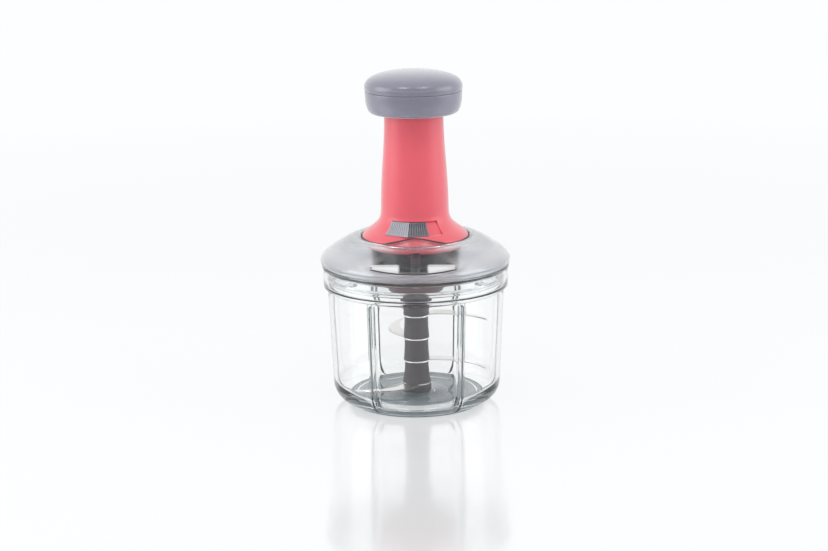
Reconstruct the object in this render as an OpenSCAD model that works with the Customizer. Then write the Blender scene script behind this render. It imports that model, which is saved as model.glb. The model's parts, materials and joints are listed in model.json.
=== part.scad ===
// Hand-pumped food chopper. A clear bowl holds a hub with four sickle blades. The domed lid
// carries a red column. Pushing the knob down drives a nut along a helical spindle, and a
// planetary gear makes the blades turn five times as fast as the spindle.
// Frame: origin at the centre of the foot on the table, +Z up, -Y is the front.

/* [Bowl] */
// Outer radius of the bowl's rim band
bowl_rim_r = 65.3; // [58:0.1:80]
// Height of the bowl's open edge above the table
bowl_h = 101; // [84:0.5:122]
// Height of the rim band, from the shoulder to the open edge
rim_band_h = 16.5; // [13:0.5:20]
// How far the lip at the open edge stands out of the band
rim_lip = 0.9; // [0.4:0.1:1.5]
// Height of that lip
rim_lip_h = 2.7; // [2:0.1:4]
// Step from the rim band in to the body
shoulder_step = 2.8; // [2.4:0.1:4]
// How much narrower the body is above the corner than under the shoulder
wall_lean = 2.9; // [1:0.1:4]
// Wall thickness of the bowl
bowl_wall = 2.4; // [2:0.1:2.8]
// Thickness of the bowl's floor over the pad
floor_t = 3.2; // [2.5:0.1:4.5]
// Outer radius of the corner between wall and foot
corner_r = 14; // [11:0.5:17]
// How far the pad stands below the bowl's foot
pad_proud = 0.9; // [0.5:0.1:1.5]
// Radius of the anti-slip pad
pad_r = 48; // [38:0.5:52]
// Thickness of the anti-slip pad
pad_t = 3; // [2.5:0.1:4]
// Number of flutes round the wall
flute_count = 6; // [3:1:8]
// Radius of a flute's groove
flute_r = 2; // [1.6:0.1:2.8]
// Wall thickness of the ridge behind a flute
flute_wall = 2.2; // [1.8:0.1:2.6]
// Radius of the pivot pin in the floor
pivot_r = 3; // [2.5:0.1:3.5]
// How far the pivot pin stands above the floor
pivot_h = 20; // [14:0.5:26]

/* [Blade unit] */
// Number of blades
blade_count = 4; // [4]
// Thickness of a blade
blade_t = 1; // [0.8:0.1:1.2]
// Width of a blade at its root
blade_w = 13; // [9:0.1:15]
// Sweep of a blade from root to tip, in degrees
blade_sweep = 45; // [30:1:55]
// Height of the lowest blade above the hub's foot
first_blade_h = 5.3; // [4.5:0.1:7]
// Radius of the hub where it grips a blade
hub_r = 9.2; // [8.8:0.1:10]
// Radius of the hub's upper collar
top_collar_r = 12; // [11:0.1:12.4]
// Radius of the hub's lower collar
low_collar_r = 11.5; // [10.5:0.1:12]
// Corner radius of the hexagonal core
core_r = 6.4; // [6:0.1:6.8]
// Corner radius of the hexagonal drive at the end of the output shaft
drive_r = 5.35; // [4.8:0.05:5.8]

/* [Lid] */
// How far the dome's rim stands out over the bowl's rim band
lid_overhang = 1.7; // [1:0.1:2.5]
// Height of the dome, from its rim to the red base
dome_h = 18.5; // [17:0.5:24]
// Wall thickness of the dome
dome_t = 2.2; // [1.8:0.1:2.6]
// Thickness of the lid's floor plate
plate_t = 1.6; // [1.2:0.1:2]
// Width of the raised middle of the floor plate outside the screws
plateau_margin = 5.1; // [2:0.1:8]
// Radius of the drive boss under the lid
boss_r = 22; // [21:0.5:25]

/* [Column] */
// Height of the column above the red base
column_h = 88.5; // [74:0.5:104]
// Wall thickness of the column at its top
column_wall = 2.3; // [2.1:0.1:3.5]
// How much the column widens from its top down to the flare
column_taper = 3.2; // [3:0.1:5]
// Width of the flare, from the column out to where the red base meets the dome
flare_w = 13.7; // [13:0.1:18]
// How far the base is drawn in at the front
base_notch = 4.5; // [0:0.5:6]

/* [Knob] */
// How far the knob stands out round the column's top
knob_overhang = 13.6; // [11:0.1:18]
// Height of the knob
knob_h = 29.7; // [29.5:0.1:36]
// Height of the seam above the knob's lower edge
knob_seam_h = 15.8; // [14:0.1:18]
// Wall thickness of the knob
knob_t = 2.2; // [1.8:0.1:2.4]

/* [Drive] */
// Stroke of the knob
stroke = 24; // [18:0.5:24]
// Rise of the spindle's helix in one turn
helix_lead = 30; // [25:1:40]
// Gear module
gear_m = 0.8; // [0.8]
// Teeth of the sun gear
sun_teeth = 12; // [12]
// Teeth of each planet gear
planet_teeth = 18; // [18]
// Radius of the plunger tube
tube_r = 14; // [12:0.1:17]
// Room for the return spring between the plunger tube and the column's bore
spring_room = 4.3; // [3.6:0.1:5]
// Wall thickness of the plunger tube
tube_wall = 2.5; // [2:0.1:2.8]
// Radius of the return spring's wire
wire_r = 0.8; // [0.6:0.1:0.9]
// Curls of the return spring
spring_curls = 8; // [6:1:9]

/* [Lock] */
// Travel of the lock slider, in degrees
lock_turn = 18; // [12:1:18]
// Height of the slot
slot_h = 8.8; // [8:0.1:9.5]
// Depth of the slot's pocket
slot_depth = 1.5; // [1:0.1:1.7]

/* [Fits] */
// Radial clearance of a shaft in its bush
run_fit = 0.05; // [0.02:0.01:0.08]
// Gap between pieces that move past each other
free_gap = 0.3; // [0.25:0.05:0.5]
// Gap between pieces that are assembled and stay put
set_gap = 0.1; // [0.05:0.05:0.15]

/* [Hidden] */
$fn = 96;
over = 1;                 // how far a cut runs past the face it opens
front = -90;              // direction of the front, in degrees round Z

clear_grey = [0.80, 0.86, 0.86];
smoke_grey = [0.62, 0.63, 0.68];
knob_grey = [0.58, 0.58, 0.64];
column_red = [0.90, 0.33, 0.38];
boss_maroon = [0.33, 0.24, 0.27];
hub_grey = [0.36, 0.35, 0.36];
case_grey = [0.22, 0.24, 0.26];
steel = [0.75, 0.75, 0.76];
brass = [0.78, 0.64, 0.36];
white_nylon = [0.90, 0.90, 0.88];
soft_dark = [0.25, 0.24, 0.25];

// Gear train, worked out from the module and the teeth
ring_teeth = sun_teeth + 2 * planet_teeth;
sun_pitch_r = gear_m * sun_teeth / 2;
planet_pitch_r = gear_m * planet_teeth / 2;
ring_pitch_r = gear_m * ring_teeth / 2;
planet_orbit_r = sun_pitch_r + planet_pitch_r;  // the planets' pins turn on this circle
planet_angles = [90, 210, 330];
tooth_add = 0.7 * gear_m;
tooth_ded = 0.95 * gear_m;
tooth_thin = 0.08;                      // taken off each flank
pressure_angle = 20;
case_wall = 1.8;
case_in_r = ring_pitch_r + tooth_ded + 1.6;
case_r = case_in_r + case_wall;

// Radii that follow from the tube and the gear train
bore_r = tube_r + spring_room;
column_top_r = bore_r + column_wall;
column_low_r = column_top_r + column_taper;
base_r = column_low_r + flare_w;
knob_r = column_top_r + knob_overhang;
lid_r = bowl_rim_r + lid_overhang;
case_bore_r = case_r + 0.24;
lock_bore_r = column_low_r - 1.8;
screw_r = 1.5;
screw_post_r = 3.4;
screw_ring_r = case_r + screw_post_r + 0.44;
plateau_r = screw_ring_r + screw_post_r + plateau_margin;

// Bowl
body_top_r = bowl_rim_r - shoulder_step;
body_low_r = body_top_r - wall_lean;
shoulder_z = bowl_h - rim_band_h;
corner_x = body_low_r - corner_r;
corner_z = pad_proud + corner_r;
floor_z = pad_t + floor_t;
inner_corner_r = corner_r - bowl_wall;
inner_corner_z = floor_z + inner_corner_r;
band_in_r = bowl_rim_r - bowl_wall;
ledge_z = shoulder_z + bowl_wall;
lean_angle = atan(wall_lean / (shoulder_z - corner_z));
flute_out = 0.6;                        // groove's centre line outside the wall's face
flute_top_z = shoulder_z - 4.5;
ridge_r = flute_r + flute_wall;
pin_boss_r = pivot_r + 2.6;
pin_boss_h = 2.6;

// Blade unit
hub_z = floor_z + free_gap;
hub_top_z = bowl_h - 5.6;
low_collar_z = bowl_h - 31;
top_collar_z = bowl_h - 12.5;
top_blade_z = low_collar_z - 8.4;
blade_pitch = (top_blade_z - hub_z - first_blade_h) / (blade_count - 1);
blade_tips = [206, 333, 100, 340];      // direction of each blade's tip, lowest blade first
long_tip_r = body_low_r - ridge_r - 2.2;
short_tip_r = corner_x + 2.5;
waist = 0.8;                            // how much a length of the hub narrows towards its top
foot_flare = 1;                         // how much more the lowest length widens to the foot
core_top_z = hub_top_z - 9.5;
socket_z = core_top_z + 2.4;
socket_r = drive_r + free_gap;

// Lid
rim_z = bowl_h + free_gap;
base_z = rim_z + dome_h - 0.3;
shoulder_h = 2.2;                       // height of the dome's upright rim
plate_z = bowl_h - 4;
plateau_z = plate_z + plate_t + 1.2;
skirt_r = band_in_r - 1.3;
skirt_t = 2.2;
skirt_h = 12;
seal_z = bowl_h - 9;
boss_h = 14;
boss_t = 2;
boss_mouth_r = top_collar_r + 0.5;
neck_r = 12.6;
lobe_proud = 0.5;                       // the dome's front stands this much over the red base
dome_cone_r = base_r + 10;
dome_cone_z = base_z - 0.9;

// Column
column_z = base_z + column_h;
column_low_z = base_z + 20;
flare_decay = 8.5;
flare_power = 2;
notch_width = 24;                       // breadth of the drawn-in front, in degrees
funnel_z = bowl_h + 9.8;
funnel_r = screw_ring_r - 0.7;
funnel_top_r = base_r - 1.5;
flange_t = 1.4;
gasket_w = 0.9;
shelf_z = base_z + 17;
shelf_t = 3;
key_w = 5;
key_out = 1.2;
screw_angles = [0, 90, 180, 270];

// Heights of the gear train
cover_z = bowl_h + 0.7;
gear_z = cover_z + 0.4;
gear_t = 4.6;
case_top_z = cover_z + 13.3;
case_top_t = 1.8;
carrier_z = gear_z + gear_t + 0.5;
carrier_t = 2;
carrier_r = planet_orbit_r + 3.8;
planet_pin_r = 1.5;
dog_h = 1;
dog_count = 8;
clutch_z = carrier_z + carrier_t + dog_h + set_gap;
clutch_t = 1.8;
journal_r = 6;
spindle_z = case_top_z + 2;
neck_z = bowl_h - 5;
shaft_r = 4.5;
stub_r = 2.5;

// Plunger
tube_z = spindle_z + 1 + stroke;
tube_in_r = tube_r - tube_wall;
nut_h = 9.72;                           // never level with the lock groove that starts beside the nut
nut_h_clear = 0.35;
helix_r = 4.3;
helix_lobe = 0.9;
helix_lobes = 3;
knob_z = column_z - 0.5;
knob_top_z = knob_z + knob_h;
seam_z = knob_z + knob_seam_h;
knob_mouth_r = column_top_r + 3.4;
spigot_r = knob_r - knob_t - 0.2;
tube_top_z = knob_top_z - 8;
flange_z = column_z - 22;
flange_h = 3;
bush_z = flange_z + flange_h + set_gap;
tongue_half = 6;                        // half width of a lock tongue, in degrees
slot_half = tongue_half + 2;
lock_ring_t = 3.5;
lock_ring_z = base_z + 9;
tongue_r = tube_in_r + 0.8;

// Slot and slider, as directions round Z
slot_from = front - 40.5;
slot_to = front + 38;
slot_z = base_z + 6;
slider_from = slot_from + 0.5;
slider_ridge = front - 10;
slider_to = slot_to - lock_turn - 2.5;
slider_proud = 3.2;
slider_edge_proud = 1;

// ---------- shapes ----------

// Points along a round arc
function arc(c, r, a, b, n = 10) = [for (i = [0:n]) let (t = a + (b - a) * i / n) c + r * [cos(t), sin(t)]];

// Points along a cubic curve
function curve(p, q, r, s, n = 10) =
    [for (i = [0:n]) let (t = i / n, u = 1 - t)
        u * u * u * p + 3 * u * u * t * q + 3 * u * t * t * r + t * t * t * s];

// Radius of the red column and its flare at a height
function column_r(z) =
    let (t = min(1, max(0, (column_z - z) / (column_z - column_low_z))))
    column_top_r + (column_low_r - column_top_r) * (1 - cos(180 * t)) / 2
    + (base_r - column_low_r) * exp(-pow(max(0, z - base_z) / flare_decay, flare_power));

// Outline of the red base from above, drawn in at the front
function base_outline(grow = 0) =
    [for (a = [0:3:357])
        let (off = abs((a - front + 180) % 360 - 180),
            r = base_r - base_notch * exp(-pow(off / notch_width, 2)) + grow)
        r * [cos(a), sin(a)]];

// Half the angle that a tooth fills at radius r
function involute(r, base) = r <= base ? 0 : let (t = acos(base / r)) tan(t) * 180 / PI - t;
function tooth_half(r, teeth, thin) =
    let (pitch = gear_m * teeth / 2, base = pitch * cos(pressure_angle))
    90 / teeth - thin / pitch * 180 / PI + involute(pitch, base) - involute(r, base);

// Outline of an external gear
function gear_outline(teeth, add, ded, thin) =
    let (pitch = gear_m * teeth / 2, base = pitch * cos(pressure_angle), root = pitch - ded,
        tip = pitch + add,
         flank = [root, max(root, base), max(root, base) * 0.6 + tip * 0.4, tip])
    [for (i = [0:teeth - 1]) each concat(
        [for (r = flank) let (a = i * 360 / teeth - tooth_half(r, teeth, thin)) r * [cos(a), sin(a)]],
        [for (k = [3:-1:0]) let (r = flank[k], a = i * 360 / teeth + tooth_half(r, teeth, thin))
            r * [cos(a), sin(a)]])];

// Outline of the spindle's lobed section, grown by a clearance
function lobed_outline(grow = 0) =
    [for (a = [0:20:340]) (helix_r + helix_lobe * cos(helix_lobes * a) + grow) * [cos(a), sin(a)]];

module ring(r_out, r_in, z, h) {
    translate([0, 0, z]) difference() {
        cylinder(r = r_out, h = h);
        translate([0, 0, -over]) cylinder(r = r_in, h = h + 2 * over);
    }
}

module sector(from, to, points) {
    rotate([0, 0, from]) rotate_extrude(angle = to - from) polygon(points);
}

module box_points(r0, r1, z0, z1, from, to) {
    sector(from, to, [[r0, z0], [r1, z0], [r1, z1], [r0, z1]]);
}

// Flat piece of a ring between two directions
module flat_sector(r_in, r_out, from, to) {
    polygon(concat(arc([0, 0], r_out, from, to, 12), arc([0, 0], r_in, to, from, 12)));
}

module outline_prism(grow, z0, z1) {
    translate([0, 0, z0]) linear_extrude(z1 - z0) polygon(base_outline(grow));
}

module helix_bar(z, h, grow) {
    translate([0, 0, z]) rotate([0, 0, z * 360 / helix_lead])
        linear_extrude(h, twist = -h * 360 / helix_lead, slices = ceil(h / 1.25), $fn = 12)
            polygon(lobed_outline(grow));
}

// ---------- bowl ----------

function bowl_outside() = concat(
    [[0, pad_proud]],
    arc([corner_x, corner_z], corner_r, -90, 0, 14),
    [[body_top_r, shoulder_z - 2]],
    curve([body_top_r, shoulder_z - 2], [body_top_r, shoulder_z - 0.6],
          [bowl_rim_r, shoulder_z - 0.8], [bowl_rim_r, shoulder_z + 0.8], 5),
    [[bowl_rim_r, bowl_h - rim_lip_h - 0.4], [bowl_rim_r + rim_lip, bowl_h - rim_lip_h]],
    arc([bowl_rim_r + rim_lip - 0.7, bowl_h - 0.7], 0.7, 0, 90, 4));

function bowl_inside() = concat(
    [[band_in_r, bowl_h + over], [band_in_r, ledge_z]],
    [[body_top_r - bowl_wall, ledge_z - 2]],
    arc([corner_x, inner_corner_z], inner_corner_r, 0, -90, 12),
    [[0, floor_z], [0, bowl_h + over]]);

// One flute's centre line, drawn as a bar of radius r: along the wall, then round the corner
module flute_bar(r) {
    translate([body_low_r + flute_out, 0, corner_z]) rotate([0, lean_angle, 0]) {
        cylinder(r = r, h = flute_top_z - corner_z);
        translate([0, 0, flute_top_z - corner_z]) sphere(r = r);
    }
    translate([corner_x, 0, corner_z]) rotate([90, 0, 0]) rotate([0, 0, -72])
        rotate_extrude(angle = 72) translate([corner_r + flute_out, 0]) circle(r = r);
}

module flutes(r) {
    for (i = [0:flute_count - 1]) rotate([0, 0, (i + 0.5) * 360 / flute_count + front]) flute_bar(r);
}

module bowl() {
    color(clear_grey, 0.4) difference() {
        union() {
            rotate_extrude() difference() {
                polygon(concat(bowl_outside(), [[0, bowl_h]]));
                polygon(bowl_inside());
            }
            intersection() {
                rotate_extrude() polygon(concat(bowl_outside(), [[0, bowl_h]]));
                flutes(ridge_r);
            }
            translate([0, 0, floor_z - 0.5]) cylinder(r1 = pin_boss_r + 0.4, r2 = pin_boss_r,
                h = pin_boss_h + 0.5);
        }
        flutes(flute_r);
        cylinder(r = pad_r + set_gap, h = 2 * pad_t, center = true);
        translate([0, 0, pad_t + 1]) cylinder(r = pivot_r, h = 2 * pivot_h);
    }
}

module anti_slip_pad() {
    groove_r = pad_r - 4;
    color(soft_dark) rotate_extrude() polygon([
        [0, 0], [pad_r - 0.5, 0], [pad_r, 0.5], [pad_r, pad_t],
        [groove_r + 0.6, pad_t], [groove_r + 0.6, pad_t - 0.5], [groove_r - 0.6, pad_t - 0.5],
        [groove_r - 0.6, pad_t], [0, pad_t]]);
}

module pivot_pin() {
    pin_top_z = floor_z + pivot_h;
    color(steel) {
        translate([0, 0, pad_t + 1]) cylinder(r = pivot_r, h = pin_top_z - 1 - pad_t - 1);
        translate([0, 0, pin_top_z - 1]) cylinder(r1 = pivot_r, r2 = pivot_r - 1, h = 1);
    }
}

// ---------- blade unit ----------

function blade_z(i) = hub_z + first_blade_h + blade_pitch * i;
function tip_r(i) = i == 0 ? short_tip_r : long_tip_r;

module core_hole(z, h) {
    translate([0, 0, z]) cylinder(r = core_r + set_gap, h = h, $fn = 6);
}

module hub_core() {
    core_z = hub_z + pin_boss_h + 0.8;
    color(white_nylon) difference() {
        translate([0, 0, core_z]) cylinder(r = core_r, h = core_top_z - core_z, $fn = 6);
        translate([0, 0, core_z - over]) cylinder(r = pivot_r + run_fit,
            h = floor_z + pivot_h + 0.1 - core_z + over);
    }
}

module hub_foot() {
    top = blade_z(0);
    color(hub_grey) difference() {
        rotate_extrude() polygon([[0, hub_z], [hub_r + 0.6, hub_z], [hub_r + 1.3, hub_z + 0.6],
            [hub_r + 1.2, hub_z + 2.4], [hub_r + foot_flare, top], [0, top]]);
        core_hole(hub_z + pin_boss_h + 0.8, first_blade_h);
        translate([0, 0, hub_z - over]) cylinder(r = pin_boss_r + 0.6, h = pin_boss_h + 0.8 + over);
    }
}

module hub_spacer(i) {
    z = blade_z(i - 1) + blade_t;
    h = blade_pitch - blade_t;
    widen = i == 1 ? waist + foot_flare : waist;
    color(hub_grey) difference() {
        rotate_extrude() polygon(concat(
            [[0, z]],
            [for (k = [0:8]) [hub_r - waist + widen * pow(1 - k / 8, 2), z + h * k / 8]],
            [[0, z + h]]));
        core_hole(z - over, h + 2 * over);
    }
}

module hub_top() {
    z = blade_z(blade_count - 1) + blade_t;
    color(hub_grey) difference() {
        union() {
            rotate_extrude() polygon([
                [0, z], [hub_r, z], [hub_r - 0.3, z + 2], [low_collar_r - 1, low_collar_z - 0.8],
                [low_collar_r, low_collar_z], [low_collar_r, low_collar_z + 1.2],
                    [hub_r + 0.4, low_collar_z + 3],
                [hub_r, low_collar_z + 4], [hub_r, top_collar_z - 1.5], [top_collar_r, top_collar_z],
                [top_collar_r, top_collar_z + 1.2], [hub_r + 0.4, top_collar_z + 2.6],
                    [0, top_collar_z + 2.6]]);
            translate([0, 0, top_collar_z + 2])
                cylinder(r = hub_r + 0.6, h = hub_top_z - top_collar_z - 2.8, $fn = 6);
            translate([0, 0, hub_top_z - 0.8])
                cylinder(r1 = hub_r + 0.6, r2 = hub_r - 0.2, h = 0.8, $fn = 6);
        }
        core_hole(z - over, core_top_z + set_gap - z + over);
        translate([0, 0, socket_z]) cylinder(r = socket_r, h = 2 * hub_r, $fn = 6);
    }
}

// A blade swept back behind its cutting edge, from the hub to a pointed tip
function blade_outline(tip, reach) =
    let (steps = 14, from = hub_r - 2)
    [for (side = [1, -1]) for (k = [0:steps])
        let (s = side > 0 ? k / steps : 1 - k / steps, r = from + (reach - from) * s,
             half = blade_w / 2 * (1 - pow(s, 4)) * (1 - 0.25 * s),
             a = tip + blade_sweep * (1 - s) + side * half / r * 180 / PI)
        if (side > 0 || (k > 0)) r * [cos(a), sin(a)]];

module blade(i) {
    color(steel) translate([0, 0, blade_z(i)]) difference() {
        union() {
            cylinder(r = hub_r + (i == 0 ? foot_flare : 0.3), h = blade_t);
            linear_extrude(blade_t) polygon(blade_outline(blade_tips[i], tip_r(i)));
        }
        core_hole(-over, blade_t + 2 * over);
    }
}

// ---------- lid ----------

// Outer face of the dome, from its rim up to the red base and a little over it at the front
function dome_outside() = concat(
    [[lid_r - 0.6, rim_z], [lid_r, rim_z + 0.6], [lid_r, rim_z + shoulder_h]],
    curve([lid_r, rim_z + shoulder_h], [lid_r - 0.4, rim_z + shoulder_h + 4.4],
          [lid_r - 9.5, rim_z + shoulder_h + 9.4], [dome_cone_r, dome_cone_z], 12),
    curve([dome_cone_r, dome_cone_z], [dome_cone_r - 3, base_z + 0.8],
          [base_r + 3.6, base_z + 1], [base_r + 1.4, base_z + 0.3], 6),
    [for (z = [base_z + 0.4:0.6:base_z + 5.2]) [column_r(z) + lobe_proud, z]]);

// The same face moved in by the wall
function dome_inside() = concat(
    [[lid_r - dome_t, rim_z], [lid_r - dome_t, rim_z + shoulder_h]],
    curve([lid_r - dome_t, rim_z + shoulder_h], [lid_r - dome_t - 0.4, rim_z + shoulder_h + 3],
          [lid_r - 10.6, rim_z + shoulder_h + 7.4], [dome_cone_r - 0.8, dome_cone_z - dome_t], 12),
    curve([dome_cone_r - 0.8, dome_cone_z - dome_t], [dome_cone_r - 3.8, base_z + 0.6 - dome_t],
          [base_r + 3, base_z + 0.8 - dome_t], [base_r + 0.6, base_z + 0.2 - dome_t], 6),
    [for (z = [base_z + 0.4:0.6:base_z + 5.2]) [column_r(z) - 0.2, z - dome_t + 0.6]]);

function backwards(points) = [for (i = [len(points) - 1:-1:0]) points[i]];

module lid_dome() {
    color(smoke_grey, 0.5) difference() {
        rotate_extrude() polygon(concat(dome_outside(), backwards(dome_inside())));
        outline_prism(gasket_w + set_gap, base_z - 10, base_z + 12);
    }
}

module lid_floor() {
    neck_hole_r = neck_r + 0.5;
    color(clear_grey, 0.4) difference() {
        rotate_extrude() polygon([
            [neck_hole_r, plate_z], [skirt_r - skirt_t, plate_z], [skirt_r - skirt_t, bowl_h - skirt_h],
            [skirt_r, bowl_h - skirt_h], [skirt_r, seal_z - 1], [skirt_r - 0.9, seal_z - 1],
            [skirt_r - 0.9, seal_z + 1], [skirt_r, seal_z + 1], [skirt_r, rim_z],
            [lid_r - dome_t - 0.2, rim_z], [lid_r - dome_t - 0.2, rim_z + 1.6],
                [skirt_r - skirt_t, rim_z + 1.6],
            [skirt_r - skirt_t, plate_z + plate_t], [53, plate_z + plate_t], [52.6, plate_z + plate_t + 1],
            [51.4, plate_z + plate_t + 1], [51, plate_z + plate_t], [plateau_r + 0.3, plate_z + plate_t],
            [plateau_r, plateau_z], [neck_hole_r, plateau_z]]);
        screw_holes(screw_r + set_gap, plate_z - over, plateau_z + over);
    }
}

module lid_seal() {
    seal_r = band_in_r - free_gap;
    color(white_nylon) rotate_extrude() polygon([
        [skirt_r - 0.8, seal_z - 0.9], [skirt_r + 0.1, seal_z - 0.9], [seal_r, seal_z - 0.2],
        [seal_r, seal_z + 0.2], [skirt_r + 0.1, seal_z + 0.9], [skirt_r - 0.8, seal_z + 0.9]]);
}

module base_gasket() {
    // degrees left free at each end of the slot, where the slider passes
    slot_side = 1;
    band = concat(
        [[base_r + 2, base_z + 0.1]],
        [for (z = [base_z + 0.2:0.6:base_z + 5.2]) [column_r(z) + 0.35, z]],
        [for (z = [base_z + 5:-0.6:base_z + 0.2]) [column_r(z) - 1.6, z - 1.2]],
        [[base_r + 2, base_z - 1.2]]);
    color(soft_dark) difference() {
        intersection() {
            rotate_extrude() polygon(band);
            outline_prism(gasket_w, base_z - 5, base_z + 8);
        }
        outline_prism(set_gap, base_z - 6, base_z + 9);
        box_points(column_low_r, base_r + gasket_w + over, slot_z - set_gap, slot_z + slot_h,
            slot_from - slot_side, slot_to + slot_side);
    }
}

module drive_boss() {
    flange_r = screw_ring_r + screw_post_r;
    boss_z = plate_z - boss_h;
    color(boss_maroon, 0.9) difference() {
        rotate_extrude() polygon(concat(
            [[boss_mouth_r, boss_z], [boss_mouth_r + 1.6, boss_z]],
            curve([boss_mouth_r + 1.6, boss_z], [boss_r - 4, boss_z + 3], [boss_r, boss_z + 6],
                [boss_r, boss_z + 9], 8),
            [[boss_r, plate_z - 1.6], [flange_r, plate_z - 1.6], [flange_r, plate_z],
                [boss_r - boss_t, plate_z],
             [boss_r - boss_t, boss_z + 9]],
            curve([boss_r - boss_t, boss_z + 9], [boss_r - boss_t - 1, boss_z + 6], [boss_r - 7, boss_z + 4],
                  [boss_mouth_r, boss_z + 2], 6)));
        screw_holes(screw_r + set_gap, plate_z - 3, plate_z + over);
    }
}

module screw_holes(r, from, to) {
    for (a = screw_angles) rotate([0, 0, a]) translate([screw_ring_r, 0, from])
        cylinder(r = r, h = to - from, $fn = 32);
}

module housing_screws() {
    head_z = plate_z - 1.6;
    color(steel) for (a = screw_angles) rotate([0, 0, a]) translate([screw_ring_r, 0, 0]) difference() {
        union() {
            translate([0, 0, head_z - 2]) cylinder(r = 2.8, h = 2, $fn = 32);
            translate([0, 0, head_z - 0.1]) cylinder(r = screw_r, h = funnel_z + 4 - head_z, $fn = 32);
        }
        translate([0, 0, head_z - 2.5]) cylinder(r = 1.4, h = 1.5, $fn = 6);
    }
}

// ---------- column ----------

module column_shell() {
    rotate_extrude() polygon(concat(
        [[0, base_z - flange_t]], [[base_r, base_z - flange_t]],
        [for (z = [base_z:1:base_z + 19]) [column_r(z), z]],
        [for (z = [column_low_z:6:column_z - 6]) [column_r(z), z]],
        [[column_top_r, column_z - 1], [column_top_r - 1, column_z], [0, column_z]]));
}

module funnel() {
    rotate_extrude() polygon([
        [0, funnel_z], [funnel_r, funnel_z], [funnel_top_r, base_z - flange_t],
            [funnel_top_r, base_z - flange_t + 0.1],
        [0, base_z - flange_t + 0.1]]);
}

// The slot's pocket, and the window in it through which the slider joins the lock ring
module slot_cut() {
    floor_low_r = column_r(slot_z) - slot_depth - 0.6;
    floor_high_r = column_r(slot_z + slot_h) - slot_depth;
    window_low = lock_ring_z - 0.5;
    sector(slot_from, slot_to, [
        [floor_low_r, slot_z], [base_r, slot_z], [base_r, slot_z + slot_h],
            [floor_high_r, slot_z + slot_h]]);
    box_points(lock_bore_r - over, base_r, window_low, window_low + lock_ring_t + 1,
               slider_from + 16, slider_to - 16 + lock_turn + 3);
}

module column_housing() {
    bore_top = column_z + over;
    color(column_red) difference() {
        union() {
            intersection() {
                column_shell();
                outline_prism(0, base_z - 3, column_z + over);
            }
            funnel();
            screw_posts();
        }
        translate([0, 0, shelf_z + shelf_t]) cylinder(r = bore_r, h = bore_top - shelf_z - shelf_t);
        translate([0, 0, shelf_z - over]) cylinder(r = tube_r + 0.6, h = shelf_t + 2 * over);
        translate([0, 0, base_z + 5 - over]) cylinder(r = lock_bore_r, h = shelf_z - base_z - 5 + over);
        translate([0, 0, funnel_z - over]) cylinder(r = case_bore_r, h = base_z + 5 - funnel_z + over);
        for (a = [90, -90]) rotate([0, 0, a]) translate([0, -key_w / 2 - free_gap, shelf_z + shelf_t])
            cube([bore_r + key_out, key_w + 2 * free_gap, bush_z - shelf_z - shelf_t]);
        screw_holes(screw_r + run_fit, funnel_z - 8, funnel_z + 4.5);
        slot_cut();
    }
}

module screw_posts() {
    for (a = screw_angles) rotate([0, 0, a]) translate([screw_ring_r, 0, cover_z + 3.4])
        cylinder(r = screw_post_r, h = base_z - flange_t - cover_z - 3.4 - 1, $fn = 32);
}

module guide_bush() {
    color(white_nylon) ring(bore_r, tube_r + run_fit, bush_z, column_z - 1.2 - bush_z);
}

module lock_retainer() {
    color(case_grey) {
        ring(case_bore_r - set_gap, case_bore_r - 2.4, case_top_z + 0.1, base_z + 5 - case_top_z - 0.1);
        difference() {
            translate([0, 0, base_z + 5 - 0.01])
                cylinder(r = lock_bore_r - set_gap, h = lock_ring_z - free_gap - base_z - 5);
            translate([0, 0, base_z + 4]) cylinder(r = tube_r + 0.9, h = 20);
        }
    }
}

module spring_seat() {
    color(steel) ring(bore_r - 0.4, tube_r + 0.6, shelf_z + shelf_t, 0.8);
}

// Return spring: one unbroken tube of triangles wound by formula, with closed ends
module return_spring() {
    sides = 6;
    coil_r = (tube_r + bore_r) / 2;
    low_z = shelf_z + shelf_t + 0.8 + wire_r + 0.05;
    high_z = flange_z - wire_r - 0.05;
    end_turn = 1;
    total = spring_curls + 2 * end_turn;
    rings_per_turn = 8;
    steps = total * rings_per_turn;
    dead = 2.5 * wire_r;
    function rise(t) =
        t < end_turn ? dead * t
        : t > total - end_turn ? high_z - low_z - dead * (total - t)
        : dead + (high_z - low_z - 2 * dead) * (t - end_turn) / spring_curls;
    function centre(k) = let (t = k / rings_per_turn) [coil_r * cos(360 * t), coil_r * sin(360 * t),
        low_z + rise(t)];
    pitch = (high_z - low_z - 2 * dead) / spring_curls;
    echo(least_gap_between_curls = min(pitch, dead) - 2 * wire_r);
    points = [for (k = [0:steps]) for (j = [0:sides - 1])
        let (c = centre(k), a = 360 * k / rings_per_turn, b = 360 * j / sides)
        c + wire_r * [cos(a) * cos(b), sin(a) * cos(b), sin(b)]];
    sides_faces = [for (k = [0:steps - 1]) for (j = [0:sides - 1]) each
        let (p = k * sides + j, q = k * sides + (j + 1) % sides)
        [[p, p + sides, q], [q, p + sides, q + sides]]];
    start_cap = [for (j = [1:sides - 2]) [0, j, j + 1]];
    end_cap = [for (j = [1:sides - 2]) [steps * sides, steps * sides + j + 1, steps * sides + j]];
    color(steel) polyhedron(points, concat(sides_faces, start_cap, end_cap));
}

// ---------- gear case ----------

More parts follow.
